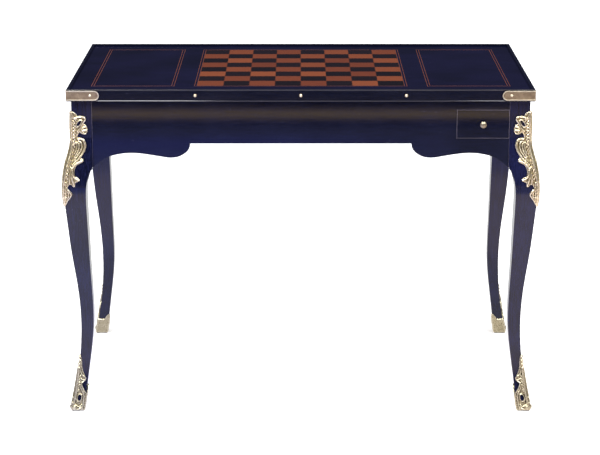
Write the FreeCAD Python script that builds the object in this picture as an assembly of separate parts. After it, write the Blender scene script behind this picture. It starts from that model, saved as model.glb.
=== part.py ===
import FreeCAD, Part
import math
import os
from FreeCAD import Vector

os.makedirs("parts", exist_ok=True)

# All sizes in millimetres. X runs along the table, Y from front to back, Z up from the floor.

# Overall
TABLE_HEIGHT = 750
LID_LENGTH = 1040
LID_DEPTH = 600
CUT_OVERRUN = 60

# Lid: a panel in a moulded edge that stands proud of it above and below
RIM_HEIGHT = 27
RIM_WIDTH = 8
RIM_PROUD = 4
RIM_BEAD = 2.6
RIM_BEAD_PROUD = 1
LID_PLAY = 2
TONGUE_THICKNESS = 6
TONGUE_LENGTH = 3
VENEER_THICKNESS = 1.5
BAIZE_THICKNESS = 1.2
BAIZE_MARGIN = 46

# Inlay of the lid's top
CHESS_SQUARE = 58
CHESS_ROWS = 8
SQUARE_JOINT = 0.1
STRING_WIDTH = 1.5
STRING_SPACING = 5.5
SIDE_PANEL_GAP = 44.5
SIDE_PANEL_MARGIN = 50

# Brass on the lid's edge
STRAP_LENGTH = 72
STRAP_THICKNESS = 2
STRAP_BORDER = 2.2
STRAP_FIELD_DEPTH = 0.7
STRAP_SCREW_SETBACK = 20
SCREW_HEAD_DIAMETER = 6
SCREW_HEAD_HEIGHT = 1.4
SCREW_SHANK_DIAMETER = 3
SCREW_LENGTH = 16
STUD_DIAMETER = 8
STUD_HEIGHT = 2.4
STUD_SPACING = 234

# Legs: one face profile, cut from two sides
LEG_BLOCK = 45
LEG_OUTER_SHARES = (
    (0.88, 0.0),
    (0.80, 0.27),
    (0.722, 0.43),
    (0.625, 0.335),
    (0.52, 0.175),
    (0.405, -0.06),
    (0.29, -0.175),
    (0.19, -0.11),
    (0.10, 0.07),
    (0.04, 0.24),
    (0.0, 0.36),
)
LEG_INNER_SHARES = (
    (0.972, 0.80),
    (0.918, 0.67),
    (0.865, 0.655),
    (0.745, 0.695),
    (0.59, 0.745),
    (0.44, 0.81),
    (0.36, 0.807),
    (0.262, 0.70),
    (0.14, 0.49),
    (0.05, 0.34),
    (0.0, 0.24),
)

# Rails: one edge shape, drawn for half a rail from its middle to its end
RAIL_THICKNESS = 22
RAIL_DEPTH = 156
RAIL_STRAIGHT_DEPTH_SHARE = 0.648
RAIL_STRAIGHT_SHARE = 0.531
RAIL_LOBE_SHARES = (0.624, 0.856)
RAIL_WAVE_SHARES = (
    (0.673, 0.838),
    (0.735, 0.807),
    (0.817, 0.786),
    (0.875, 0.803),
    (0.925, 0.845),
    (0.965, 0.917),
    (1.0, 1.0),
)
TENON_LENGTH_SHARE = 0.5
TENON_THICKNESS_SHARE = 0.34
TENON_SHOULDER = 8

# Playing well under the lid
WELL_DEPTH = 75
FLOOR_THICKNESS = 10
FLOOR_HOUSING = 5
PARTITION_THICKNESS = 10
PARTITION_DROP = 114
CENTRE_BAR_WIDTH = 14
CENTRE_BAR_HEIGHT = 30
POINTS_PER_SIDE = 6
POINT_LENGTH_SHARE = 0.4
POINT_BASE_SHARE = 0.94
POINT_INLAY = 1.5
BUSH_DIAMETER = 7
BUSH_BORE = 3.2
BUSH_DEPTH = 14

# Drawers
DRAWER_OPENING_WIDTH = 118
DRAWER_OPENING_HEIGHT = 65.5
DRAWER_OPENING_DROP = 24
DRAWER_GAP = 0.5
DRAWER_FRONT_THICKNESS = 20
DRAWER_SIDE_THICKNESS = 8
DRAWER_SIDE_DROP = 5
DRAWER_LAP = 6
DRAWER_BACK_THICKNESS = 8
DRAWER_BACK_INSET = 6
DRAWER_BACK_HOUSING = 3
DRAWER_BOTTOM_THICKNESS = 6
DRAWER_BOTTOM_LIFT = 5
DRAWER_BOTTOM_HOUSING = 4
TAIL_SHARES = (0.32, 0.72)
TAIL_ROOT = 14
TAIL_END = 18
RUNNER_WIDTH = 15
RUNNER_HEIGHT = 10
GUIDE_HEIGHT = 20

# Drawer knob, turned from brass
KNOB_DIAMETER = 15
KNOB_ROSE_DIAMETER = 11
KNOB_NECK_DIAMETER = 6
KNOB_LENGTH = 14
KNOB_STEM_DIAMETER = 4
KNOB_STEM_LENGTH = 15
KNOB_ROSE_SHARE = 0.14
KNOB_NECK_SHARE = 0.45
KNOB_WIDEST_SHARE = 0.72

# Gilt mounts on the knees. Each lobe of the leaf edge is one curve down the front face: shares of
# the mount's width in from the leg's corner, and of its length down from its top.
KNEE_MOUNT_TOP_DROP = 27
KNEE_MOUNT_LENGTH = 214
KNEE_MOUNT_WIDTH = 36
KNEE_MOUNT_PLATE = 2.4
KNEE_MOUNT_RELIEF = 4.6
KNEE_LEAF_SHARES = (
    ((0.0, 0.0), (0.22, 0.018), (0.38, 0.055)),
    ((0.38, 0.055), (0.65, 0.050), (0.87, 0.069), (0.83, 0.097), (0.69, 0.135)),
    ((0.69, 0.135), (0.90, 0.155), (0.98, 0.20), (0.89, 0.239), (0.70, 0.248), (0.52, 0.228)),
    ((0.52, 0.228), (0.37, 0.250), (0.35, 0.290)),
    ((0.35, 0.290), (0.56, 0.281), (0.77, 0.306), (0.88, 0.375), (0.80, 0.452), (0.68, 0.497)),
    ((0.68, 0.497), (0.92, 0.503), (0.99, 0.52), (0.91, 0.537), (0.68, 0.558), (0.57, 0.62), (0.67, 0.683)),
    ((0.67, 0.683), (0.86, 0.696), (0.96, 0.722), (0.80, 0.737), (0.69, 0.746)),
    ((0.69, 0.746), (0.70, 0.768), (0.66, 0.791)),
    ((0.66, 0.791), (0.53, 0.778), (0.40, 0.761), (0.28, 0.776), (0.24, 0.806)),
    ((0.24, 0.806), (0.40, 0.834), (0.52, 0.862), (0.44, 0.895), (0.25, 0.925)),
    ((0.25, 0.925), (0.16, 0.962), (0.0, 1.0)),
)
KNEE_STEM_SHARES = (
    ((0.0, 0.02), (0.20, 0.04), (0.34, 0.09), (0.28, 0.17), (0.30, 0.24)),
    ((0.30, 0.24), (0.22, 0.28), (0.26, 0.32)),
    ((0.26, 0.32), (0.52, 0.33), (0.66, 0.39), (0.50, 0.46), (0.44, 0.51)),
    ((0.44, 0.51), (0.62, 0.53), (0.48, 0.57), (0.40, 0.64), (0.46, 0.71)),
    ((0.46, 0.71), (0.30, 0.73), (0.18, 0.77), (0.16, 0.82)),
    ((0.16, 0.82), (0.30, 0.86), (0.20, 0.91), (0.0, 0.985)),
)
KNEE_EYE_SHARES = (0.46, 0.132)
KNEE_EYE_WIDTH = 7
KNEE_EYE_HEIGHT = 15
KNEE_EYE_LEAN = 25

# Gilt shoes on the feet: a cup, low at the side corners, with a leaf up the outer corner and a lobe
# up the inner corner
SHOE_LIFT = 2
SHOE_SIDE_HEIGHT = 28
SHOE_LEAF_HEIGHT = 130
SHOE_LEAF_WIDTH = 35
SHOE_PLATE = 2.4
SHOE_LEAF_SHARES = (
    ((0.0, 1.0), (0.13, 0.91), (0.18, 0.81), (0.29, 0.715), (0.57, 0.585)),
    ((0.57, 0.585), (0.50, 0.53), (0.33, 0.498)),
    ((0.33, 0.498), (0.39, 0.446), (0.53, 0.385), (0.74, 0.312), (1.0, 0.215)),
)
SHOE_INNER_SHARES = ((0.29, 0.205), (0.38, 0.265), (0.48, 0.345), (0.60, 0.398), (0.90, 0.415))
SHOE_EYE_SHARES = (0.37, 0.23)
SHOE_EYE_WIDTH = 8
SHOE_EYE_HEIGHT = 14
SHOE_EYE_LEAN = 12
TOE_DIAMETER = 13
TOE_LENGTH = 19
TOE_ROUNDING = 4
TOE_PLACE_SHARE = 0.78

# Pins that hold the mounts
PIN_HEAD_DIAMETER = 4
PIN_HEAD_HEIGHT = 1.2
PIN_SHANK_DIAMETER = 1.8
PIN_LENGTH = 16
KNEE_PIN_SHARES = ((0.20, 0.075), (0.12, 0.90))
SHOE_PIN_SHARES = (0.62, 0.12)

# Sizes that follow from those above
PANEL_THICKNESS = RIM_HEIGHT - 2 * RIM_PROUD
FRAME_TOP = TABLE_HEIGHT - RIM_PROUD - PANEL_THICKNESS
FRAME_LENGTH = LID_LENGTH - 2 * (RIM_WIDTH + LID_PLAY)
FRAME_DEPTH = LID_DEPTH - 2 * (RIM_WIDTH + LID_PLAY)
FRAME_END = FRAME_LENGTH / 2
FRAME_FRONT = -FRAME_DEPTH / 2
RAIL_INSIDE_X = FRAME_END - RAIL_THICKNESS
RAIL_INSIDE_Y = FRAME_DEPTH / 2 - RAIL_THICKNESS
LEG_FACE_X = FRAME_END - LEG_BLOCK
LEG_FACE_Y = FRAME_DEPTH / 2 - LEG_BLOCK
LEG_JOINT_HEIGHT = FRAME_TOP - RAIL_DEPTH
OPENING_INNER_X = LEG_FACE_X - DRAWER_OPENING_WIDTH
OPENING_TOP = FRAME_TOP - DRAWER_OPENING_DROP
OPENING_BOTTOM = OPENING_TOP - DRAWER_OPENING_HEIGHT
WELL_END = OPENING_INNER_X - PARTITION_THICKNESS
FLOOR_TOP = FRAME_TOP - WELL_DEPTH
POINT_SPACING = (WELL_END - CENTRE_BAR_WIDTH / 2) / POINTS_PER_SIDE
CORNER = Vector(-FRAME_END, FRAME_FRONT, 0)
DIAGONAL = Vector(1, -1, 0)
KNEE_MOUNT_TOP = FRAME_TOP - KNEE_MOUNT_TOP_DROP
PANEL_END = LID_LENGTH / 2 - RIM_WIDTH
PANEL_SIDE = LID_DEPTH / 2 - RIM_WIDTH
PANEL_TOP = TABLE_HEIGHT - RIM_PROUD
RIM_BOTTOM = TABLE_HEIGHT - RIM_HEIGHT
RIM_MIDDLE = TABLE_HEIGHT - RIM_HEIGHT / 2
RIM_FLAT_X = LID_LENGTH / 2 - RIM_BEAD_PROUD
RIM_FLAT_Y = LID_DEPTH / 2 - RIM_BEAD_PROUD
STRAP_HEIGHT = RIM_HEIGHT - 2 * RIM_BEAD


def block(x0, x1, y0, y1, z0, z1):
    return Part.makeBox(x1 - x0, y1 - y0, z1 - z0, Vector(x0, y0, z0))


def prism(points, direction):
    wire = Part.makePolygon(points + [points[0]])
    return Part.Face(wire).extrude(direction)


def spline(points, start=None, end=None):
    """A curve through the points, leaving along start and arriving along end where they are given."""
    ends = {0: start, len(points) - 1: end}
    leads = [ends.get(place) for place in range(len(points))]
    curve = Part.BSplineCurve()
    if start is None and end is None:
        curve.interpolate(points)
    else:
        tangents = [lead or Vector(0, 0, 1) for lead in leads]
        curve.interpolate(Points=points, Tangents=tangents, TangentFlags=[lead is not None for lead in leads])
    return curve


def turned(shape):
    """The shape turned half round the table's upright axis."""
    copy = shape.copy()
    copy.rotate(Vector(0, 0, 0), Vector(0, 0, 1), 180)
    return copy


def other_end(shape):
    return shape.mirror(Vector(0, 0, 0), Vector(1, 0, 0))


def other_side(shape):
    return shape.mirror(Vector(0, 0, 0), Vector(0, 1, 0))


def save(name, solids):
    shape = solids[0] if len(solids) == 1 else Part.makeCompound(solids)
    shape.exportStep("parts/" + name + ".step")


# Legs. The front left leg is drawn, and the others are mirrored from it.

def leg_outer_curve(grow):
    points = []
    for height, swell in LEG_OUTER_SHARES:
        points.append(Vector(-FRAME_END - swell * LEG_BLOCK - grow, 0, height * FRAME_TOP))
    return spline(points, start=Vector(0, 0, -1))


def leg_inner_curve(grow):
    points = [Vector(-LEG_FACE_X + grow, 0, LEG_JOINT_HEIGHT)]
    for height, inset in LEG_INNER_SHARES:
        points.append(Vector(-FRAME_END + inset * LEG_BLOCK + grow, 0, height * LEG_JOINT_HEIGHT))
    return spline(points, start=Vector(-1, 0, -1))


def leg_solid(grow):
    outer = leg_outer_curve(grow)
    inner = leg_inner_curve(grow)
    top_outer = Vector(-FRAME_END - grow, 0, FRAME_TOP)
    top_inner = Vector(-LEG_FACE_X + grow, 0, FRAME_TOP)
    edges = [
        Part.LineSegment(top_outer, outer.StartPoint).toShape(),
        outer.toShape(),
        Part.LineSegment(outer.EndPoint, inner.EndPoint).toShape(),
        inner.toShape(),
        Part.LineSegment(inner.StartPoint, top_inner).toShape(),
        Part.LineSegment(top_inner, top_outer).toShape(),
    ]
    face = Part.Face(Part.Wire(Part.__sortEdges__(edges)))
    face.translate(Vector(0, FRAME_FRONT - CUT_OVERRUN, 0))
    across = face.extrude(Vector(0, LEG_BLOCK + 2 * CUT_OVERRUN, 0))
    return across.common(across.mirror(CORNER, DIAGONAL))


def leg_edge_at(height):
    """How far the leg's outer edge stands out of the frame's face at a height."""
    if height >= LEG_OUTER_SHARES[0][0] * FRAME_TOP:
        return 0
    curve = leg_outer_curve(0)
    low, high = curve.FirstParameter, curve.LastParameter
    for step in range(40):
        middle = (low + high) / 2
        if curve.value(middle).z > height:
            low = middle
        else:
            high = middle
    return -FRAME_END - curve.value(low).x


# Rails. The front rail has the drawer opening at its right end.

def rail_edge_points(half, shares):
    return [Vector(half * along, 0, FRAME_TOP - RAIL_DEPTH * down) for along, down in shares]


def rail_board(half):
    straight_end = rail_edge_points(half, ((RAIL_STRAIGHT_SHARE, RAIL_STRAIGHT_DEPTH_SHARE),))[0]
    lobe = rail_edge_points(half, (RAIL_LOBE_SHARES,))[0]
    lobe_width = lobe.x - straight_end.x
    lobe_drop = straight_end.z - lobe.z
    quarter = Vector(
        lobe.x - lobe_width * math.cos(math.pi / 4), 0, straight_end.z - lobe_drop * math.sin(math.pi / 4)
    )
    lobe_arc = spline([straight_end, quarter, lobe], Vector(0, 0, -1), Vector(1, 0, 0))
    wave = spline([lobe] + rail_edge_points(half, RAIL_WAVE_SHARES), start=Vector(1, 0, 0))
    top_middle = Vector(0, 0, FRAME_TOP)
    top_end = Vector(half, 0, FRAME_TOP)
    low_middle = Vector(0, 0, straight_end.z)
    edges = [
        Part.LineSegment(top_middle, top_end).toShape(),
        Part.LineSegment(top_end, wave.EndPoint).toShape(),
        wave.toShape(),
        lobe_arc.toShape(),
        Part.LineSegment(straight_end, low_middle).toShape(),
        Part.LineSegment(low_middle, top_middle).toShape(),
    ]
    face = Part.Face(Part.Wire(Part.__sortEdges__(edges)))
    right = face.extrude(Vector(0, RAIL_THICKNESS, 0))
    return right.fuse(right.mirror(Vector(0, 0, 0), Vector(1, 0, 0))).removeSplitter()


def tenon(end, bottom, top):
    """A tenon on the rail's right end, centred in the rail's thickness."""
    length = LEG_BLOCK * TENON_LENGTH_SHARE
    thick = RAIL_THICKNESS * TENON_THICKNESS_SHARE
    middle = RAIL_THICKNESS / 2
    return block(
        end, end + length, middle - thick / 2, middle + thick / 2,
        bottom + TENON_SHOULDER, top - TENON_SHOULDER
    )


def front_rail():
    half = LEG_FACE_X
    rail = rail_board(half)
    opening = block(
        OPENING_INNER_X, half + CUT_OVERRUN, -CUT_OVERRUN, RAIL_THICKNESS + CUT_OVERRUN,
        OPENING_BOTTOM, OPENING_TOP
    )
    rail = rail.cut(opening)
    rail = rail.fuse(tenon(half, LEG_JOINT_HEIGHT, OPENING_BOTTOM))
    rail = rail.fuse(tenon(half, OPENING_TOP, FRAME_TOP))
    rail = rail.fuse(tenon(half, LEG_JOINT_HEIGHT, FRAME_TOP).mirror(Vector(0, 0, 0), Vector(1, 0, 0)))
    rail.translate(Vector(0, FRAME_FRONT, 0))
    return rail.cut(well_floor_board())


def side_rail():
    half = LEG_FACE_Y
    rail = rail_board(half)
    end = tenon(half, LEG_JOINT_HEIGHT, FRAME_TOP)
    rail = rail.fuse(end).fuse(end.mirror(Vector(0, 0, 0), Vector(1, 0, 0)))
    rail.rotate(Vector(0, 0, 0), Vector(0, 0, 1), 90)
    rail.translate(Vector(FRAME_END, 0, 0))
    return rail


# Playing well

def well_floor_board():
    return block(
        -WELL_END - FLOOR_HOUSING, WELL_END + FLOOR_HOUSING, -RAIL_INSIDE_Y - FLOOR_HOUSING,
        RAIL_INSIDE_Y + FLOOR_HOUSING, FLOOR_TOP - FLOOR_THICKNESS, FLOOR_TOP
    )


def point_centres():
    centres = []
    for place in range(POINTS_PER_SIDE):
        centre = CENTRE_BAR_WIDTH / 2 + POINT_SPACING * (place + 0.5)
        centres.extend([centre, -centre])
    return sorted(centres)


def points_of_well():
    """The light and the dark inlaid points, in turn along each long side."""
    light, dark = [], []
    half_base = POINT_SPACING * POINT_BASE_SHARE / 2
    length = 2 * RAIL_INSIDE_Y * POINT_LENGTH_SHARE
    for number, centre in enumerate(point_centres()):
        for side in (-1, 1):
            base_y = side * RAIL_INSIDE_Y
            low = FLOOR_TOP - POINT_INLAY
            corners = [
                Vector(centre - half_base, base_y, low),
                Vector(centre + half_base, base_y, low),
                Vector(centre, base_y - side * length, low),
            ]
            point = prism(corners, Vector(0, 0, POINT_INLAY))
            is_light = (number + (side > 0)) % 2 == 0
            (light if is_light else dark).append(point)
    return light, dark


def right_partition():
    partition = block(
        WELL_END, OPENING_INNER_X, -RAIL_INSIDE_Y, RAIL_INSIDE_Y, FRAME_TOP - PARTITION_DROP, FRAME_TOP
    )
    return partition.cut(well_floor_board())


def centre_bar():
    return block(
        -CENTRE_BAR_WIDTH / 2, CENTRE_BAR_WIDTH / 2, -RAIL_INSIDE_Y, RAIL_INSIDE_Y,
        FLOOR_TOP, FLOOR_TOP + CENTRE_BAR_HEIGHT
    )


def score_bushes():
    """Bone bushes for the scoring pegs, one at the foot of each point, and the plugs that drill for them."""
    bushes, plugs = [], []
    bottom = FRAME_TOP - BUSH_DEPTH
    for centre in point_centres():
        for side in (-1, 1):
            place = Vector(centre, side * (RAIL_INSIDE_Y + RAIL_THICKNESS / 2), bottom)
            plug = Part.makeCylinder(BUSH_DIAMETER / 2, BUSH_DEPTH, place)
            plugs.append(plug)
            bushes.append(plug.cut(Part.makeCylinder(BUSH_BORE / 2, BUSH_DEPTH, place)))
    return bushes, plugs


def right_end_cover():
    cover = block(OPENING_INNER_X, RAIL_INSIDE_X, -RAIL_INSIDE_Y, RAIL_INSIDE_Y, OPENING_TOP, FRAME_TOP)
    for side in (-1, 1):
        near, far = sorted((side * LEG_FACE_Y, side * FRAME_DEPTH / 2))
        cover = cover.cut(block(LEG_FACE_X, FRAME_END, near, far, 0, TABLE_HEIGHT))
    return cover


# Drawer spaces

def right_inner_runner():
    return block(
        OPENING_INNER_X, OPENING_INNER_X + RUNNER_WIDTH, -RAIL_INSIDE_Y, RAIL_INSIDE_Y,
        OPENING_BOTTOM - RUNNER_HEIGHT, OPENING_BOTTOM
    )


def right_outer_runner():
    bed = block(
        LEG_FACE_X - RUNNER_WIDTH, RAIL_INSIDE_X, -LEG_FACE_Y, LEG_FACE_Y,
        OPENING_BOTTOM - RUNNER_HEIGHT, OPENING_BOTTOM
    )
    guide = block(
        LEG_FACE_X, RAIL_INSIDE_X, -LEG_FACE_Y, LEG_FACE_Y,
        OPENING_BOTTOM, OPENING_BOTTOM + GUIDE_HEIGHT
    )
    return bed.fuse(guide).removeSplitter()


# Front drawer. The back drawer is the same one turned half round.

DRAWER_LEFT = OPENING_INNER_X + DRAWER_GAP
DRAWER_RIGHT = LEG_FACE_X - DRAWER_GAP
DRAWER_MIDDLE = (DRAWER_LEFT + DRAWER_RIGHT) / 2
DRAWER_SIDE_TOP = OPENING_TOP - DRAWER_SIDE_DROP
DRAWER_INSIDE_Y = FRAME_FRONT + DRAWER_FRONT_THICKNESS
DRAWER_BOTTOM_Z = OPENING_BOTTOM + DRAWER_BOTTOM_LIFT
DRAWER_FLOOR = DRAWER_BOTTOM_Z + DRAWER_BOTTOM_THICKNESS
DRAWER_BACK_Y = RAIL_INSIDE_Y - DRAWER_BACK_INSET


def drawer_left_side():
    side = block(
        DRAWER_LEFT, DRAWER_LEFT + DRAWER_SIDE_THICKNESS, DRAWER_INSIDE_Y, RAIL_INSIDE_Y,
        OPENING_BOTTOM, DRAWER_SIDE_TOP
    )
    tail_end = FRAME_FRONT + DRAWER_LAP
    for share in TAIL_SHARES:
        middle = OPENING_BOTTOM + DRAWER_OPENING_HEIGHT * share
        corners = [
            Vector(DRAWER_LEFT, DRAWER_INSIDE_Y, middle - TAIL_ROOT / 2),
            Vector(DRAWER_LEFT, tail_end, middle - TAIL_END / 2),
            Vector(DRAWER_LEFT, tail_end, middle + TAIL_END / 2),
            Vector(DRAWER_LEFT, DRAWER_INSIDE_Y, middle + TAIL_ROOT / 2),
        ]
        side = side.fuse(prism(corners, Vector(DRAWER_SIDE_THICKNESS, 0, 0)))
    return side.removeSplitter()


def drawer_bottom():
    inset = DRAWER_SIDE_THICKNESS - DRAWER_BOTTOM_HOUSING
    return block(
        DRAWER_LEFT + inset, DRAWER_RIGHT - inset, DRAWER_INSIDE_Y - DRAWER_BOTTOM_HOUSING, DRAWER_BACK_Y,
        DRAWER_BOTTOM_Z, DRAWER_FLOOR
    )


def drawer_back():
    inset = DRAWER_SIDE_THICKNESS - DRAWER_BACK_HOUSING
    return block(
        DRAWER_LEFT + inset, DRAWER_RIGHT - inset, DRAWER_BACK_Y - DRAWER_BACK_THICKNESS, DRAWER_BACK_Y,
        DRAWER_FLOOR, DRAWER_SIDE_TOP
    )


def drawer_knob():
    face = FRAME_FRONT
    rose = KNOB_ROSE_DIAMETER / 2
    neck = KNOB_NECK_DIAMETER / 2
    head = KNOB_DIAMETER / 2
    stem = KNOB_STEM_DIAMETER / 2
    rose_end = face - KNOB_LENGTH * KNOB_ROSE_SHARE
    neck_place = face - KNOB_LENGTH * KNOB_NECK_SHARE
    widest = face - KNOB_LENGTH * KNOB_WIDEST_SHARE
    tip = face - KNOB_LENGTH
    back = face + KNOB_STEM_LENGTH
    shoulder = spline([Vector(rose, rose_end, 0), Vector(neck, neck_place, 0), Vector(head, widest, 0)])
    dome_radius = (head ** 2 + (widest - tip) ** 2) / (2 * (widest - tip))
    half_angle = math.asin(head / dome_radius) / 2
    on_dome = Vector(dome_radius * math.sin(half_angle), tip + dome_radius * (1 - math.cos(half_angle)), 0)
    dome = Part.Arc(Vector(head, widest, 0), on_dome, Vector(0, tip, 0))
    corners = [
        Vector(0, tip, 0), Vector(0, back, 0), Vector(stem, back, 0), Vector(stem, face, 0),
        Vector(rose, face, 0), Vector(rose, rose_end, 0),
    ]
    edges = [Part.LineSegment(a, b).toShape() for a, b in zip(corners, corners[1:])]
    face_shape = Part.Face(Part.Wire(Part.__sortEdges__(edges + [shoulder.toShape(), dome.toShape()])))
    knob = face_shape.revolve(Vector(0, 0, 0), Vector(0, 1, 0), 360)
    knob.translate(Vector(DRAWER_MIDDLE, 0, OPENING_BOTTOM + DRAWER_OPENING_HEIGHT / 2))
    return knob


# Lid

def rim_section():
    """The moulded edge's section: a bead along the top and the bottom of a flat band."""
    outer = LID_DEPTH / 2
    inner = PANEL_SIDE
    radius = RIM_BEAD / 2
    band = outer - RIM_BEAD_PROUD
    points = [
        Vector(0, -inner, RIM_BOTTOM), Vector(0, -outer + radius, RIM_BOTTOM),
        Vector(0, -outer, RIM_BOTTOM + radius), Vector(0, -outer + RIM_BEAD_PROUD, RIM_BOTTOM + RIM_BEAD),
        Vector(0, -band, TABLE_HEIGHT - RIM_BEAD), Vector(0, -outer, TABLE_HEIGHT - radius),
        Vector(0, -outer + radius, TABLE_HEIGHT), Vector(0, -inner, TABLE_HEIGHT),
    ]
    swing = radius * math.cos(math.pi / 4)
    low_arc = Part.Arc(
        points[1], Vector(0, -outer + radius - swing, RIM_BOTTOM + radius - swing), points[2]
    )
    high_arc = Part.Arc(
        points[5], Vector(0, -outer + radius - swing, TABLE_HEIGHT - radius + swing), points[6]
    )
    lines = [(0, 1), (2, 3), (3, 4), (4, 5), (6, 7), (7, 0)]
    edges = [Part.LineSegment(points[a], points[b]).toShape() for a, b in lines]
    return Part.Face(Part.Wire(Part.__sortEdges__(edges + [low_arc.toShape(), high_arc.toShape()])))


def panel_tongue():
    low = RIM_MIDDLE - TONGUE_THICKNESS / 2
    return block(
        -PANEL_END - TONGUE_LENGTH, PANEL_END + TONGUE_LENGTH, -PANEL_SIDE - TONGUE_LENGTH,
        PANEL_SIDE + TONGUE_LENGTH, low, low + TONGUE_THICKNESS
    )


def front_rim():
    half = LID_LENGTH / 2
    section = rim_section()
    section.translate(Vector(-half, 0, 0))
    bar = section.extrude(Vector(LID_LENGTH, 0, 0))
    corners = [
        Vector(-half, -LID_DEPTH / 2, 0), Vector(half, -LID_DEPTH / 2, 0),
        Vector(half - RIM_WIDTH, -PANEL_SIDE, 0), Vector(-half + RIM_WIDTH, -PANEL_SIDE, 0),
    ]
    return bar.common(prism(corners, Vector(0, 0, TABLE_HEIGHT + CUT_OVERRUN))).cut(panel_tongue())


def right_rim():
    half = LID_DEPTH / 2
    section = rim_section()
    section.rotate(Vector(0, 0, 0), Vector(0, 0, 1), 90)
    section.translate(Vector(LID_LENGTH / 2 - half, -half, 0))
    bar = section.extrude(Vector(0, LID_DEPTH, 0))
    outer = LID_LENGTH / 2
    corners = [
        Vector(outer, -half, 0), Vector(outer, half, 0), Vector(PANEL_END, PANEL_SIDE, 0),
        Vector(PANEL_END, -PANEL_SIDE, 0),
    ]
    return bar.common(prism(corners, Vector(0, 0, TABLE_HEIGHT + CUT_OVERRUN))).cut(panel_tongue())


def ring(x0, x1, y0, y1):
    """One line of stringing round a rectangle, laid inwards from its edges."""
    low = PANEL_TOP - VENEER_THICKNESS
    outer = block(x0, x1, y0, y1, low, PANEL_TOP)
    inner = block(x0 + STRING_WIDTH, x1 - STRING_WIDTH, y0 + STRING_WIDTH, y1 - STRING_WIDTH, low, PANEL_TOP)
    return outer.cut(inner)


CHESS_HALF = CHESS_SQUARE * CHESS_ROWS / 2
INNER_STRING = CHESS_HALF + STRING_WIDTH
OUTER_STRING = INNER_STRING + STRING_SPACING


def chess_stringing():
    return [
        ring(-INNER_STRING, INNER_STRING, -INNER_STRING, INNER_STRING),
        ring(-OUTER_STRING, OUTER_STRING, -OUTER_STRING, OUTER_STRING),
    ]


def right_panel_stringing():
    near = OUTER_STRING + SIDE_PANEL_GAP
    far = LID_LENGTH / 2 - SIDE_PANEL_MARGIN
    return [
        ring(near, far, -OUTER_STRING, OUTER_STRING),
        ring(near + STRING_SPACING, far - STRING_SPACING, -INNER_STRING, INNER_STRING),
    ]


def chess_squares():
    light, dark = [], []
    for column in range(CHESS_ROWS):
        for row in range(CHESS_ROWS):
            x = -CHESS_HALF + column * CHESS_SQUARE
            y = -CHESS_HALF + row * CHESS_SQUARE
            square = block(
                x + SQUARE_JOINT / 2, x + CHESS_SQUARE - SQUARE_JOINT / 2, y + SQUARE_JOINT / 2,
                y + CHESS_SQUARE - SQUARE_JOINT / 2, PANEL_TOP - VENEER_THICKNESS, PANEL_TOP
            )
            (light if (column + row) % 2 == 0 else dark).append(square)
    return light, dark


def lid_veneer(stringing):
    low = PANEL_TOP - VENEER_THICKNESS
    sheet = block(-PANEL_END, PANEL_END, -PANEL_SIDE, PANEL_SIDE, low, PANEL_TOP)
    sheet = sheet.cut(block(-CHESS_HALF, CHESS_HALF, -CHESS_HALF, CHESS_HALF, low, PANEL_TOP))
    return sheet.cut(Part.makeCompound(stringing))


def baize():
    x = PANEL_END - BAIZE_MARGIN
    y = PANEL_SIDE - BAIZE_MARGIN
    return block(-x, x, -y, y, FRAME_TOP, FRAME_TOP + BAIZE_THICKNESS)


def lid_panel():
    panel = block(-PANEL_END, PANEL_END, -PANEL_SIDE, PANEL_SIDE, FRAME_TOP, PANEL_TOP - VENEER_THICKNESS)
    return panel.fuse(panel_tongue()).removeSplitter().cut(baize())


def strap_band(inset, outside, inside):
    """A band along the front of the lid's front left corner, with a round end, between two depths."""
    start = -RIM_FLAT_X - STRAP_THICKNESS
    radius = STRAP_HEIGHT / 2 - inset
    end = -RIM_FLAT_X + STRAP_LENGTH - STRAP_HEIGHT / 2
    high = RIM_MIDDLE + radius
    low = RIM_MIDDLE - radius
    points = [
        Vector(end, outside, high), Vector(start, outside, high),
        Vector(start, outside, low), Vector(end, outside, low),
    ]
    edges = [Part.LineSegment(a, b).toShape() for a, b in zip(points, points[1:])]
    edges.append(Part.Arc(points[-1], Vector(end + radius, outside, RIM_MIDDLE), points[0]).toShape())
    return Part.Face(Part.Wire(Part.__sortEdges__(edges))).extrude(Vector(0, inside - outside, 0))


def lid_corner_swap(shape):
    """A shape of the lid's front left corner, moved over to that corner's left face."""
    return shape.mirror(Vector(-LID_LENGTH / 2, -LID_DEPTH / 2, 0), DIAGONAL)


def strap():
    """A brass angle round the corner, with a raised border and a sunk field."""
    front = -RIM_FLAT_Y - STRAP_THICKNESS
    arm = strap_band(0, front, -RIM_FLAT_Y)
    field = strap_band(STRAP_BORDER, front, front + STRAP_FIELD_DEPTH)
    angle = arm.fuse(lid_corner_swap(arm)).removeSplitter()
    return angle.cut(field).cut(lid_corner_swap(field))


def headed_pin(place, head_diameter, head_height, shank_diameter, length):
    """A domed head standing out of a face that looks to the front, with its shank going back into it."""
    radius = ((head_diameter / 2) ** 2 + head_height ** 2) / (2 * head_height)
    low_angle = math.degrees(math.asin((radius - head_height) / radius))
    middle = place + Vector(0, radius - head_height, 0)
    dome = Part.makeSphere(radius, middle, Vector(0, -1, 0), low_angle, 90, 360)
    shank = Part.makeCylinder(shank_diameter / 2, length, place, Vector(0, 1, 0))
    return dome.fuse(shank)


def strap_screw():
    x = -RIM_FLAT_X + STRAP_LENGTH - STRAP_SCREW_SETBACK
    place = Vector(x, -RIM_FLAT_Y - STRAP_THICKNESS + STRAP_FIELD_DEPTH, RIM_MIDDLE)
    return headed_pin(place, SCREW_HEAD_DIAMETER, SCREW_HEAD_HEIGHT, SCREW_SHANK_DIAMETER, SCREW_LENGTH)


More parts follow.
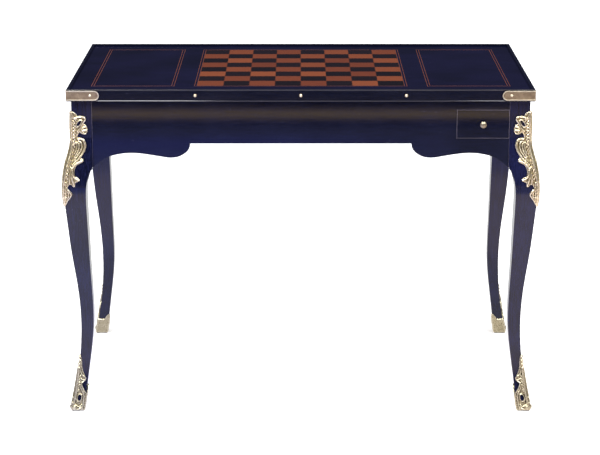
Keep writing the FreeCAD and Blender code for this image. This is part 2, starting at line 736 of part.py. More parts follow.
def edge_studs():
    studs = []
    for step in (-1, 0, 1):
        place = Vector(step * STUD_SPACING, -RIM_FLAT_Y, RIM_MIDDLE)
        stud = headed_pin(place, STUD_DIAMETER, STUD_HEIGHT, SCREW_SHANK_DIAMETER, SCREW_LENGTH)
        studs.extend([stud, other_side(stud)])
    return studs


# Gilt mounts, drawn on the front left leg's front face and repeated on its left face

def front_half(shape):
    reach = LEG_BLOCK + CUT_OVERRUN
    corners = [
        CORNER + Vector(-reach, -reach, -CUT_OVERRUN), CORNER + Vector(reach, -reach, -CUT_OVERRUN),
        CORNER + Vector(reach, reach, -CUT_OVERRUN),
    ]
    return shape.common(prism(corners, Vector(0, 0, TABLE_HEIGHT + 2 * CUT_OVERRUN)))


def both_faces(shape):
    return shape.fuse(shape.mirror(CORNER, DIAGONAL)).removeSplitter()


def leaf_prism(lobes):
    """Everything outside a leaf edge that runs down the front face from the leg's corner."""
    outside = -FRAME_END - CUT_OVERRUN
    top, low = lobes[0][0], lobes[-1][-1]
    edges = [spline(lobe).toShape() for lobe in lobes]
    corners = [low, Vector(outside, 0, low.z), Vector(outside, 0, top.z), top]
    edges += [Part.LineSegment(a, b).toShape() for a, b in zip(corners, corners[1:])]
    return through_front(Part.Face(Part.Wire(Part.__sortEdges__(edges))))


def through_front(face):
    face.translate(Vector(0, FRAME_FRONT - CUT_OVERRUN, 0))
    return face.extrude(Vector(0, LEG_BLOCK + 2 * CUT_OVERRUN, 0))


def eye_hole(place, width, height, lean):
    """An oval hole through the front face, leaning away from the leg's corner."""
    oval = Part.Ellipse(place + Vector(0, 0, height / 2), place + Vector(width / 2, 0, 0), place)
    hole = Part.Face(Part.Wire(oval.toShape()))
    hole.rotate(place, Vector(0, 1, 0), lean)
    return through_front(hole)


def on_front_face(across, height):
    return Vector(-FRAME_END - leg_edge_at(height) + across, 0, height)


def knee_place(share):
    across, down = share
    return on_front_face(across * KNEE_MOUNT_WIDTH, KNEE_MOUNT_TOP - down * KNEE_MOUNT_LENGTH)


def shoe_place(share):
    across, up = share
    return on_front_face(across * SHOE_LEAF_WIDTH, up * SHOE_LEAF_HEIGHT)


def knee_mount(leg):
    half = None
    for thick, lobes in ((KNEE_MOUNT_PLATE, KNEE_LEAF_SHARES), (KNEE_MOUNT_RELIEF, KNEE_STEM_SHARES)):
        leaf = leaf_prism([[knee_place(share) for share in lobe] for lobe in lobes])
        layer = front_half(leg_solid(thick).cut(leg)).common(leaf)
        half = layer if half is None else half.fuse(layer)
    hole = eye_hole(knee_place(KNEE_EYE_SHARES), KNEE_EYE_WIDTH, KNEE_EYE_HEIGHT, KNEE_EYE_LEAN)
    return both_faces(half.cut(hole))


def inner_lobe():
    """Everything below the shoe's edge where it rises along the leg's right face to the inner corner."""
    edge = [shoe_place(share) for share in SHOE_INNER_SHARES]
    first, last = edge[0], edge[-1]
    corners = [last, Vector(last.x, 0, SHOE_LIFT), Vector(first.x, 0, SHOE_LIFT), first]
    edges = [Part.LineSegment(a, b).toShape() for a, b in zip(corners, corners[1:])]
    edges.append(spline(edge).toShape())
    lobe = through_front(Part.Face(Part.Wire(Part.__sortEdges__(edges))))
    return lobe.mirror(CORNER, DIAGONAL)


def shoe(leg):
    shell = leg_solid(SHOE_PLATE).cut(leg)
    reach = LEG_BLOCK + CUT_OVERRUN
    cup = shell.common(
        block(
            -FRAME_END - reach, -FRAME_END + reach, FRAME_FRONT - reach, FRAME_FRONT + reach,
            SHOE_LIFT, SHOE_SIDE_HEIGHT
        )
    )
    leaf_edge = [[shoe_place(share) for share in lobe] for lobe in SHOE_LEAF_SHARES]
    leaf = front_half(shell).common(leaf_prism(leaf_edge))
    inner = front_half(shell).common(inner_lobe())
    hole = eye_hole(shoe_place(SHOE_EYE_SHARES), SHOE_EYE_WIDTH, SHOE_EYE_HEIGHT, SHOE_EYE_LEAN)
    half = leaf.fuse(inner).fuse(front_half(cup)).cut(front_half(hole))
    toe_edge = leg_edge_at(0) * TOE_PLACE_SHARE
    slope = Vector(1, -1, 0).normalize()
    toe_middle = CORNER + Vector(-toe_edge, -toe_edge, SHOE_LIFT + TOE_DIAMETER / 2)
    toe = Part.makeCylinder(TOE_DIAMETER / 2, TOE_LENGTH, toe_middle - slope * (TOE_LENGTH / 2), slope)
    toe = toe.makeFillet(TOE_ROUNDING, [edge for edge in toe.Edges if edge.Closed])
    return both_faces(half).fuse(toe.cut(leg)).removeSplitter()


def mount_pins():
    places = [(knee_place(share), KNEE_MOUNT_RELIEF) for share in KNEE_PIN_SHARES]
    places.append((shoe_place(SHOE_PIN_SHARES), SHOE_PLATE))
    pins = []
    for place, thick in places:
        seat = Vector(place.x, FRAME_FRONT - leg_edge_at(place.z) - thick, place.z)
        pins.append(headed_pin(seat, PIN_HEAD_DIAMETER, PIN_HEAD_HEIGHT, PIN_SHANK_DIAMETER, PIN_LENGTH))
    return pins + [pin.mirror(CORNER, DIAGONAL) for pin in pins]


def four_corners(shape):
    right = other_end(shape)
    return {
        "front_left": shape,
        "front_right": right,
        "back_left": other_side(shape),
        "back_right": other_side(right),
    }


# Frame
bushes, bush_plugs = score_bushes()
front = front_rail().cut(Part.makeCompound(bush_plugs))
back = turned(front)
right = side_rail()
left = turned(right)
save("front_rail", [front])
save("back_rail", [back])
save("right_rail", [right])
save("left_rail", [left])
save("score_bushes", bushes)

plain_leg = leg_solid(0)
pins = mount_pins()
pin_group = Part.makeCompound(pins)
knee = knee_mount(plain_leg).cut(pin_group)
foot_shoe = shoe(plain_leg).cut(pin_group)
for corner, leg in four_corners(plain_leg.cut(pin_group)).items():
    save(corner + "_leg", [leg.cut(front).cut(back).cut(right).cut(left)])
for corner, mount in four_corners(knee).items():
    save(corner + "_knee_mount", [mount])
for corner, mount in four_corners(foot_shoe).items():
    save(corner + "_shoe", [mount])
all_pins = []
for pin in pins:
    all_pins.extend(four_corners(pin).values())
save("mount_pins", all_pins)

light_points, dark_points = points_of_well()
save("well_floor", [well_floor_board().cut(Part.makeCompound(light_points + dark_points))])
save("light_points", light_points)
save("dark_points", dark_points)
save("right_partition", [right_partition()])
save("left_partition", [turned(right_partition())])
save("centre_bar", [centre_bar()])
save("right_end_cover", [right_end_cover()])
save("left_end_cover", [turned(right_end_cover())])
save("right_inner_runner", [right_inner_runner()])
save("left_inner_runner", [turned(right_inner_runner())])
save("right_outer_runner", [right_outer_runner()])
save("left_outer_runner", [turned(right_outer_runner())])

# Drawers
knob = drawer_knob()
bottom = drawer_bottom()
drawer_rear = drawer_back()
left_side = drawer_left_side()
right_side = left_side.mirror(Vector(DRAWER_MIDDLE, 0, 0), Vector(1, 0, 0))
drawer_face = block(
    DRAWER_LEFT, DRAWER_RIGHT, FRAME_FRONT, DRAWER_INSIDE_Y,
    OPENING_BOTTOM + DRAWER_GAP, OPENING_TOP - DRAWER_GAP
)
drawer_pieces = {
    "drawer_front": drawer_face.cut(left_side).cut(right_side).cut(bottom).cut(knob),
    "drawer_left_side": left_side.cut(bottom).cut(drawer_rear),
    "drawer_right_side": right_side.cut(bottom).cut(drawer_rear),
    "drawer_back": drawer_rear,
    "drawer_bottom": bottom,
    "drawer_knob": knob,
}
for name, piece in drawer_pieces.items():
    save("front_" + name, [piece])
    save("back_" + name, [turned(piece)])

# Lid
screw = strap_screw()
screw_pair = [screw, lid_corner_swap(screw)]
screws = []
for one in screw_pair:
    screws.extend(four_corners(one).values())
studs = edge_studs()
fixings = Part.makeCompound(screws + studs)
front_edge = front_rim()
right_edge = right_rim()
save("lid_front_rim", [front_edge.cut(fixings)])
save("lid_back_rim", [turned(front_edge).cut(fixings)])
save("lid_right_rim", [right_edge.cut(fixings)])
save("lid_left_rim", [turned(right_edge).cut(fixings)])
save("lid_panel", [lid_panel().cut(fixings)])
chess_lines = chess_stringing()
right_lines = right_panel_stringing()
left_lines = [turned(line) for line in right_lines]
light_squares, dark_squares = chess_squares()
save("lid_veneer", [lid_veneer(chess_lines + right_lines + left_lines)])
save("chess_stringing", chess_lines)
save("right_panel_stringing", right_lines)
save("left_panel_stringing", left_lines)
save("chess_light_squares", light_squares)
save("chess_dark_squares", dark_squares)
save("lid_baize", [baize()])
for corner, piece in four_corners(strap().cut(Part.makeCompound(screw_pair))).items():
    save(corner + "_strap", [piece])
save("strap_screws", screws)
save("edge_studs", studs)
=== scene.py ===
import math
import bpy
from mathutils import Matrix, Vector


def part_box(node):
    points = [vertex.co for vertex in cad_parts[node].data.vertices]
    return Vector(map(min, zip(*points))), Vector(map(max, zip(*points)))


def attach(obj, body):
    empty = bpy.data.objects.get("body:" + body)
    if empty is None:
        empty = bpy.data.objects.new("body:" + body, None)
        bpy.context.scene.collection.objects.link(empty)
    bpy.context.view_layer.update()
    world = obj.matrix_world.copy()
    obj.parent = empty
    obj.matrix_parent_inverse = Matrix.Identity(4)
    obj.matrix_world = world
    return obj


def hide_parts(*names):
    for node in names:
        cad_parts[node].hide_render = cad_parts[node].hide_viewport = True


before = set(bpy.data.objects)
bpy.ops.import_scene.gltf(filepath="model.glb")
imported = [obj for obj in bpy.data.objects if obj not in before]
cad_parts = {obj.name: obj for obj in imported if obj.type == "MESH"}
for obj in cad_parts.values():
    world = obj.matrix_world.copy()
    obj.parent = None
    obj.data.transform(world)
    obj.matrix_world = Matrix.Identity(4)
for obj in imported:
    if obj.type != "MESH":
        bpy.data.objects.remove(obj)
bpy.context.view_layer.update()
bpy.ops.object.select_all(action="DESELECT")


# Legs
# Four cabriole legs, each sawn from one block of pearwood, stained black and French polished.
# The rails' tenons go into mortises in their square heads, and each joint shows as a fine line.

MM = 0.001


def linear(colour):
    """An sRGB hex colour as the linear RGBA that shaders take."""
    shares = [int(colour[i:i + 2], 16) / 255 for i in (1, 3, 5)]
    return [c / 12.92 if c <= 0.04045 else ((c + 0.055) / 1.055) ** 2.4 for c in shares] + [1.0]


def add_node(tree, kind, settings, inputs, stops=()):
    """One shader node: its own settings, for each input a value or the socket that feeds it, and for a ramp
    of colours its stops, each a position and a colour."""
    node = tree.nodes.new("ShaderNode" + kind)
    for name, value in settings.items():
        setattr(node, name, value)
    for name, value in inputs.items():
        if isinstance(value, bpy.types.NodeSocket):
            tree.links.new(value, node.inputs[name])
        else:
            node.inputs[name].default_value = value
    if stops:
        ramp = node.color_ramp.elements
        ramp.remove(ramp[1])
        ramp[0].position = stops[0][0]
        ramp[0].color = linear(stops[0][1])
        for position, colour in stops[1:]:
            ramp.new(position).color = linear(colour)
    return node


def new_material(name):
    material = bpy.data.materials.new(name)
    material.use_nodes = True
    return material, material.node_tree, material.node_tree.nodes["Principled BSDF"]


def ebonised_pearwood(name, along, blue, lines=(), beads_lit_and_worn=None, haze=0.06):
    """Black stained pearwood under French polish: almost black with a blue cast, a close grain that only
    shows as faint streaks along one axis, and a hand-rubbed film that is not quite flat. blue is the colour
    of the paler streaks, lines are the joints that show, as (axis, distance from the origin),
    beads_lit_and_worn is (axis, outer face, mid height, half height) of an edge moulding whose two beads are
    painted paler brown, partly as rubbed wear and partly as a painted highlight, and haze is the roughness
    where the polish is clearest."""
    material, tree, surface = new_material(name)
    place = add_node(tree, "TexCoord", {}, {}).outputs["Object"]
    grain_stretch = [0.04 if axis == along else 1.0 for axis in "XYZ"]
    grain_place = add_node(tree, "Mapping", {}, {"Vector": place, "Scale": grain_stretch})
    # Pearwood's pores are 0.1 mm wide. The streaks are drawn 2.5 mm wide, so that they show.
    streak_width = 2.5 * MM
    grain = add_node(tree, "TexNoise", {}, {
        "Vector": grain_place.outputs["Vector"], "Scale": 1 / streak_width, "Detail": 4.0,
        "Roughness": 0.62})
    cloud_width = 140 * MM
    cloud = add_node(tree, "TexNoise", {}, {"Vector": place, "Scale": 1 / cloud_width, "Detail": 3.0})
    shade = add_node(tree, "Mix", {"data_type": "FLOAT"}, {
        "Factor": 0.45, "A": grain.outputs["Fac"], "B": cloud.outputs["Fac"]})
    tone = add_node(tree, "ValToRGB", {}, {"Fac": shade.outputs["Result"]}, [(0.36, "#050716"), (0.66, blue)])
    colour = tone.outputs["Color"]
    parts = add_node(tree, "SeparateXYZ", {}, {"Vector": place})
    # A joint is a hair line. It is drawn 1 mm wide, so that it shows, and fades where the polish fills it.
    line_reach = 0.5 * MM
    for axis, distance in lines:
        side = add_node(tree, "Math", {"operation": "ABSOLUTE"}, {0: parts.outputs[axis]})
        joint = add_node(tree, "Math", {"operation": "COMPARE"}, {
            0: side.outputs[0], 1: distance, 2: line_reach})
        broken = add_node(tree, "Math", {"operation": "MULTIPLY"}, {
            0: joint.outputs[0], 1: cloud.outputs["Fac"]})
        filled = add_node(tree, "Mix", {"data_type": "RGBA"}, {
            "Factor": broken.outputs[0], 6: colour, 7: linear("#7a7280")})
        colour = filled.outputs[2]
    if beads_lit_and_worn:
        axis, outside, middle, half = beads_lit_and_worn
        # The painted highlight and the wear start inside the bead's edge and are full a little nearer to it:
        # heights, then depths.
        height_start, height_full, depth_start, depth_full = 2 * MM, 1.2 * MM, 1.6 * MM, 0.8 * MM
        rise = add_node(tree, "Math", {"operation": "SUBTRACT"}, {0: parts.outputs["Z"], 1: middle})
        above = add_node(tree, "Math", {"operation": "ABSOLUTE"}, {0: rise.outputs[0]})
        bead = add_node(tree, "MapRange", {}, {
            "Value": above.outputs[0], "From Min": half - height_start, "From Max": half - height_full})
        side = add_node(tree, "Math", {"operation": "ABSOLUTE"}, {0: parts.outputs[axis]})
        front = add_node(tree, "MapRange", {}, {
            "Value": side.outputs[0], "From Min": outside - depth_start, "From Max": outside - depth_full})
        edge = add_node(tree, "Math", {"operation": "MULTIPLY"}, {0: bead.outputs[0], 1: front.outputs[0]})
        patch = add_node(tree, "MapRange", {}, {
            "Value": grain.outputs["Fac"], "From Min": 0.3, "From Max": 0.62,
            "To Min": 0.35, "To Max": 0.95})
        bead_highlight_and_wear = add_node(tree, "Math", {"operation": "MULTIPLY"}, {0: edge.outputs[0], 1: patch.outputs[0]})
        # The beads' paler brown is partly rubbed wear and partly a painted highlight along each bead.
        highlit_worn_bead = add_node(tree, "Mix", {"data_type": "RGBA"}, {
            "Factor": bead_highlight_and_wear.outputs[0], 6: colour, 7: linear("#28252a")})
        colour = highlit_worn_bead.outputs[2]
    # Small pale nicks in the polish, each 1.8 mm across, where something hard has touched it.
    nick_spacing, nick_radius = 20 * MM, 0.9 * MM
    nearest = add_node(tree, "TexVoronoi", {}, {"Vector": place, "Scale": 1 / nick_spacing})
    nick = add_node(tree, "MapRange", {}, {
        "Value": nearest.outputs["Distance"], "From Min": 0.0, "From Max": nick_radius / nick_spacing,
        "To Min": 0.8, "To Max": 0.0})
    nicked = add_node(tree, "Mix", {"data_type": "RGBA"}, {
        "Factor": nick.outputs[0], 6: colour, 7: linear("#66667e")})
    tree.links.new(nicked.outputs[2], surface.inputs["Base Color"])
    gloss = add_node(tree, "MapRange", {}, {
        "Value": shade.outputs["Result"], "From Min": 0.3, "From Max": 0.7,
        "To Min": haze, "To Max": 2 * haze})
    tree.links.new(gloss.outputs[0], surface.inputs["Roughness"])
    edge_radius, film_depth = 0.9 * MM, 0.4 * MM
    softened = add_node(tree, "Bevel", {"samples": 4}, {"Radius": edge_radius})
    film = add_node(tree, "Bump", {}, {
        "Strength": 0.035, "Distance": film_depth, "Height": shade.outputs["Result"],
        "Normal": softened.outputs["Normal"]})
    tree.links.new(film.outputs["Normal"], surface.inputs["Normal"])
    surface.inputs["Specular IOR Level"].default_value = 0.4
    return material


def give(material, *names):
    """Puts a finish on CAD nodes."""
    for name in names:
        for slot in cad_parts[name].material_slots:
            slot.material = material


CORNERS = ("front_left", "front_right", "back_left", "back_right")
# The legs' paler, bluer streaks stand in for the floor's reflection on them: painted light, as legs and rails
# are one stain.
give(ebonised_pearwood("ebonised_pearwood_upright", "Z", "#181a39"), *(corner + "_leg" for corner in CORNERS))


# Rails
# Four boards of the same stained pearwood with a sawn wavy lower edge, tenoned into the legs.
# The front and back rails each have a drawer opening at one end.

# The rails' blue is darker than the legs' for the same stain: painted shade.
RAIL_BLUE, RAIL_HAZE = "#0f1228", 0.03
# The top of the leg's inner corner, where two rails meet it.
leg_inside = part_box("front_left_leg")[1]
LONG_RAIL_JOINT, SHORT_RAIL_JOINT = ("X", -leg_inside.x), ("Y", -leg_inside.y)
give(ebonised_pearwood("ebonised_pearwood_long", "X", RAIL_BLUE, [LONG_RAIL_JOINT], haze=RAIL_HAZE),
     "front_rail", "back_rail")
give(ebonised_pearwood("ebonised_pearwood_short", "Y", RAIL_BLUE, [SHORT_RAIL_JOINT], haze=RAIL_HAZE),
     "left_rail", "right_rail")


# Drawer fronts
# Two small fronts of the same wood, set flush in the rails, with rubbed edges all round. The drawer sides
# are lapped and dovetailed into them from behind.

EDGE_WEAR = 0.3 * MM
low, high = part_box("front_drawer_front")
DRAWER_EDGES = [("X", low.x + EDGE_WEAR), ("X", high.x - EDGE_WEAR),
                ("Z", low.z + EDGE_WEAR), ("Z", high.z - EDGE_WEAR)]
give(ebonised_pearwood("ebonised_pearwood_drawer", "X", "#0f1126", DRAWER_EDGES, haze=RAIL_HAZE),
     "front_drawer_front", "back_drawer_front")


# Carcase oak
# Drawer sides, backs and bottoms and the runners are planed oak, dovetailed, grooved and left bare: pale
# brown, with open pores along the grain.

def planed_oak(name, along):
    """Bare planed oak: warm pale brown with darker pore streaks along the grain, dry and matt."""
    material, tree, surface = new_material(name)
    place = add_node(tree, "TexCoord", {}, {}).outputs["Object"]
    grain_stretch = [0.05 if axis == along else 1.0 for axis in "XYZ"]
    grain_place = add_node(tree, "Mapping", {}, {"Vector": place, "Scale": grain_stretch})
    ring_width, pore_depth = 3.5 * MM, 0.4 * MM
    rings = add_node(tree, "TexNoise", {}, {
        "Vector": grain_place.outputs["Vector"], "Scale": 1 / ring_width, "Detail": 6.0, "Roughness": 0.7})
    tone = add_node(tree, "ValToRGB", {}, {"Fac": rings.outputs["Fac"]}, [
        (0.33, "#6e4a26"), (0.62, "#b38b57")])
    tree.links.new(tone.outputs["Color"], surface.inputs["Base Color"])
    pores = add_node(tree, "Bump", {}, {
        "Strength": 0.35, "Distance": pore_depth, "Height": rings.outputs["Fac"]})
    tree.links.new(pores.outputs["Normal"], surface.inputs["Normal"])
    surface.inputs["Roughness"].default_value = 0.62
    return material


oak_long = planed_oak("planed_oak_long", "X")
oak_short = planed_oak("planed_oak_short", "Y")
DRAWERS = ("front_drawer", "back_drawer")
RUNNERS = ("left_inner_runner", "left_outer_runner", "right_inner_runner", "right_outer_runner")
give(oak_short, *(drawer + side for drawer in DRAWERS for side in ("_left_side", "_right_side")), *RUNNERS)
give(oak_long, *(drawer + board for drawer in DRAWERS for board in ("_back", "_bottom")))


# Playing well
# The well's floor, partitions, centre bar and end covers are veneered in rosewood and polished.
# Padouk and black stained points are let into the floor, twelve of each.

def polished_veneer(name, along, dark, light, streak, roughness, square=None):
    """Sawn veneer under polish: two tones in streaks along the grain. With square, each square of that
    size is its own leaf, with its own shade and its own run of grain."""
    material, tree, surface = new_material(name)
    place = add_node(tree, "TexCoord", {}, {}).outputs["Object"]
    grain_stretch = [0.07 if axis == along else 1.0 for axis in "XYZ"]
    grain_place = add_node(tree, "Mapping", {}, {"Vector": place, "Scale": grain_stretch}).outputs["Vector"]
    if square:
        cell = add_node(tree, "VectorMath", {"operation": "SNAP"}, {0: place, 1: (square, square, 1.0)})
        leaf = add_node(tree, "TexWhiteNoise", {}, {"Vector": cell.outputs[0]})
        shifted = add_node(tree, "VectorMath", {"operation": "ADD"}, {
            0: grain_place, 1: leaf.outputs["Color"]})
        grain_place = shifted.outputs[0]
    grain = add_node(tree, "TexNoise", {}, {
        "Vector": grain_place, "Scale": 1 / streak, "Detail": 5.0, "Roughness": 0.6})
    amount = grain.outputs["Fac"]
    if square:
        mixed = add_node(tree, "Mix", {"data_type": "FLOAT"}, {
            "Factor": 0.4, "A": amount, "B": leaf.outputs["Value"]})
        amount = mixed.outputs["Result"]
    tone = add_node(tree, "ValToRGB", {}, {"Fac": amount}, [(0.3, dark), (0.7, light)])
    tree.links.new(tone.outputs["Color"], surface.inputs["Base Color"])
    pore_depth = 0.3 * MM
    pores = add_node(tree, "Bump", {}, {
        "Strength": 0.06, "Distance": pore_depth, "Height": grain.outputs["Fac"]})
    tree.links.new(pores.outputs["Normal"], surface.inputs["Normal"])
    surface.inputs["Roughness"].default_value = roughness
    surface.inputs["Specular IOR Level"].default_value = 0.35
    return material


ROSEWOOD_STREAK, POINT_STREAK, WELL_ROUGHNESS = 3 * MM, 1.6 * MM, 0.3
give(polished_veneer("rosewood_veneer", "X", "#1f0f0b", "#4c2617", ROSEWOOD_STREAK, WELL_ROUGHNESS),
     "well_floor", "centre_bar", "left_partition", "right_partition", "left_end_cover", "right_end_cover")
give(polished_veneer("padouk_points", "Y", "#7a3d20", "#b8703c", POINT_STREAK, WELL_ROUGHNESS),
     "light_points")
give(polished_veneer("black_stained_points", "Y", "#0c0b10", "#1d1b22", POINT_STREAK, WELL_ROUGHNESS),
     "dark_points")


# Score bushes
# Small turned bone rings, glued into holes in the tops of the long rails. Pegs stand in them to keep the
# score.

bone, tree, surface = new_material("turned_bone")
# Turned bone: cream and half dull, with browner flecks where the pores have taken up grease.
place = add_node(tree, "TexCoord", {}, {}).outputs["Object"]
fleck_width = 1.2 * MM
flecks = add_node(tree, "TexNoise", {}, {"Vector": place, "Scale": 1 / fleck_width, "Detail": 3.0})
tone = add_node(tree, "ValToRGB", {}, {"Fac": flecks.outputs["Fac"]}, [(0.34, "#b89a68"), (0.55, "#e2d3ae")])
tree.links.new(tone.outputs["Color"], surface.inputs["Base Color"])
surface.inputs["Roughness"].default_value = 0.42
give(bone, "score_bushes")


# Knee mounts
# Cast bronze leaves round the outer corner of each knee: a leafy stem down the corner with a hooked spray
# and a bud at its top, a fluted scroll, a hook, leaf tips and a tail. Chased, fire gilt and pinned on.

def gilt_bronze(name, hollow, middle, burnished):
    """Fire gilt bronze: burnished on the high places, and dull and brown in the hollows that cloths don't
    reach, with the fine marks of the chaser's punch. The darkening of the hollows is also painted shade, and
    the paling of the crests also a painted highlight, both drawn from how sharply the surface curves."""
    material, tree, surface = new_material(name)
    place = add_node(tree, "TexCoord", {}, {}).outputs["Object"]
    form = add_node(tree, "NewGeometry", {}, {})
    height = add_node(tree, "MapRange", {}, {
        "Value": form.outputs["Pointiness"], "From Min": 0.45, "From Max": 0.55})
    wear_width = 9 * MM
    wear = add_node(tree, "TexNoise", {}, {"Vector": place, "Scale": 1 / wear_width, "Detail": 4.0})
    painted_light_and_wear = add_node(tree, "Mix", {"data_type": "FLOAT"}, {
        "Factor": 0.25, "A": height.outputs[0], "B": wear.outputs["Fac"]})
    # Dark in hollows and pale on crests: partly dirt and burnish, partly painted shade and painted highlight.
    gold = add_node(tree, "ValToRGB", {}, {"Fac": painted_light_and_wear.outputs["Result"]}, [
        (0.26, hollow), (0.5, middle), (0.78, burnished)])
    tree.links.new(gold.outputs["Color"], surface.inputs["Base Color"])
    gloss = add_node(tree, "MapRange", {}, {"Value": painted_light_and_wear.outputs["Result"], "To Min": 0.55, "To Max": 0.22})
    tree.links.new(gloss.outputs[0], surface.inputs["Roughness"])
    # The punch marks are 0.5 mm apart. They are drawn 1.6 mm apart, so that they show.
    punch_spacing, punch_depth = 1.6 * MM, 0.5 * MM
    punch = add_node(tree, "TexNoise", {}, {"Vector": place, "Scale": 1 / punch_spacing, "Detail": 3.0})
    chased = add_node(tree, "Bump", {}, {
        "Strength": 0.5, "Distance": punch_depth, "Height": punch.outputs["Fac"]})
    tree.links.new(chased.outputs["Normal"], surface.inputs["Normal"])
    surface.inputs["Metallic"].default_value = 1.0
    return material


knee_gilding = gilt_bronze("gilt_bronze", "#3a3022", "#d2c091", "#fff6dc")
give(knee_gilding, "mount_pins")

# The outer corner of the front left leg's square head, brought down to the floor.
LEG_CORNER = Vector((-510 * MM, -290 * MM, 0))
# A ray at the corner starts outside it and a little to one side, so that it meets a face and not the edge.
RAY_START = LEG_CORNER + Vector((-99.5 * MM, -100 * MM, 0))
RAY_DIRECTION = Vector((1, 1, 0)).normalized()


def leg_swell(height):
    """How far the leg's outer corner stands out past its square head at a height: a ray at the corner."""
    start = RAY_START + Vector((0, 0, min(max(height, MM), leg_inside.z - MM)))
    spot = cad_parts["front_left_leg"].ray_cast(start, RAY_DIRECTION)[1]
    return LEG_CORNER.y - spot.y


def wax_strokes(name, strokes):
    """The rolls of wax that a founder's model is built up from, laid on both outer faces of the front left
    leg. A stroke's points are (in from the corner, height, out from the face, radius), in millimetres."""
    rolls = bpy.data.curves.new(name, "CURVE")
    rolls.dimensions = "3D"
    rolls.bevel_depth = MM
    rolls.bevel_resolution = 3
    rolls.resolution_u = 8
    rolls.use_fill_caps = True
    for stroke in strokes:
        for on_side in (False, True):
            roll = rolls.splines.new("BEZIER")
            roll.bezier_points.add(len(stroke) - 1)
            for point, (inwards, height, out, radius) in zip(roll.bezier_points, stroke):
                swell = leg_swell(height * MM)
                along, off, up = inwards * MM - swell, -out * MM - swell, height * MM
                point.co = LEG_CORNER + Vector((off, along, up) if on_side else (along, off, up))
                point.radius = radius
                point.handle_left_type = point.handle_right_type = "AUTO"
    model = bpy.data.objects.new(name, rolls)
    bpy.context.collection.objects.link(model)
    return model


# The plate's thickness in millimetres, and how far a stroke stands above it, as a share of its radius.
PLATE, LIFT_SHARE = 2.4, 0.3
SAND_LUMP, SAND_RELIEF = 3.2 * MM, 1.2 * MM
casting_sand = bpy.data.textures.new("casting_sand", "CLOUDS")
casting_sand.noise_scale = SAND_LUMP
casting_sand.noise_depth = 1
# Mirrors what is on the leg's front face onto its side face.
FACE_SWAP = (Matrix.Translation(LEG_CORNER) @ Matrix(((0, 1, 0, 0), (1, 0, 0, 0), (0, 0, 1, 0), (0, 0, 0, 1)))
             @ Matrix.Translation(-LEG_CORNER))
EYE_RIM_STEPS, EYE_RIM_OFFSET, EYE_RIM_LIFT, EYE_RIM_RADIUS = 10, 0.9, 0.2, 1.2


def eye_rim(across, height, width, tall, lean):
    """The stroke that runs round a pierced eye, just outside its edge."""
    stroke = []
    for step in range(EYE_RIM_STEPS + 1):
        turn = math.tau * step / EYE_RIM_STEPS
        x, z = (width / 2 + EYE_RIM_OFFSET) * math.cos(turn), (tall / 2 + EYE_RIM_OFFSET) * math.sin(turn)
        inwards = across + x * math.cos(lean) + z * math.sin(lean)
        up = height + z * math.cos(lean) - x * math.sin(lean)
        stroke.append((inwards, up, PLATE + EYE_RIM_LIFT, EYE_RIM_RADIUS))
    return stroke


PUNCH_LENGTH = 12 * MM


def eye_punch(across, height, width, tall, lean):
    """The oval punches that pierce an eye through both outer faces, leaning away from the corner."""
    swell = leg_swell(height * MM)
    spot = LEG_CORNER + Vector((across * MM - swell, -PLATE * MM - swell, height * MM))
    bpy.ops.object.select_all(action="DESELECT")
    bpy.ops.mesh.primitive_cylinder_add(vertices=40, radius=MM / 2, depth=PUNCH_LENGTH)
    punch = bpy.context.object
    punch.data.transform(
        Matrix.Translation(spot) @ Matrix.Rotation(lean, 4, "Y") @ Matrix.Rotation(math.radians(90), 4, "X")
        @ Matrix.Diagonal((width, tall, 1, 1)))
    side_punch = bpy.data.objects.new("side_punch", punch.data.copy())
    bpy.context.collection.objects.link(side_punch)
    side_punch.data.transform(FACE_SWAP)
    side_punch.data.flip_normals()
    side_punch.select_set(True)
    bpy.ops.object.join()
    return punch


WELD, SKIN_STEP = 0.001 * MM, 0.75 * MM


def casting(name, node, strokes, eye, trim, gilding):
    """One casting of the front left leg: the plate of its CAD node and its wax strokes, run into one skin and
    pierced. With trim, the plate is first filed to one thickness, and the strokes make all of the relief."""
    model = wax_strokes(name + "_wax", strokes + [eye_rim(*eye)])
    punch = eye_punch(*eye)
    piece = bpy.data.objects.new(name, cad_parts[node].data.copy())
    bpy.context.collection.objects.link(piece)
    if trim:
        for point in piece.data.vertices:
            face = LEG_CORNER - Vector((1, 1, 0)) * (leg_swell(point.co.z) + PLATE * MM)
            point.co.x = max(point.co.x, face.x)
            point.co.y = max(point.co.y, face.y)
    bpy.ops.object.select_all(action="DESELECT")
    model.select_set(True)
    bpy.context.view_layer.objects.active = model
    bpy.ops.object.convert(target="MESH")
    piece.select_set(True)
    bpy.context.view_layer.objects.active = piece
    bpy.ops.object.join()
    bpy.ops.object.mode_set(mode="EDIT")
    bpy.ops.mesh.select_all(action="SELECT")
    bpy.ops.mesh.remove_doubles(threshold=WELD)
    bpy.ops.object.mode_set(mode="OBJECT")
    remesh = piece.modifiers.new("run_together", "REMESH")
    remesh.mode = "VOXEL"
    remesh.voxel_size = SKIN_STEP
    pierce = piece.modifiers.new("pierce", "BOOLEAN")
    pierce.object = punch
    pierce.solver = "MANIFOLD"
    sand = piece.modifiers.new("sand_cast", "DISPLACE")
    sand.texture = casting_sand
    sand.texture_coords = "LOCAL"
    sand.strength = SAND_RELIEF
    soften = piece.modifiers.new("file_off", "SMOOTH")
    soften.factor = 0.5
    soften.iterations = 2
    for modifier in [m.name for m in piece.modifiers]:
        bpy.ops.object.modifier_apply(modifier=modifier)
    bpy.data.objects.remove(punch)
    bpy.ops.object.shade_smooth()
    piece.data.materials.clear()
    piece.data.materials.append(gilding)
    return piece


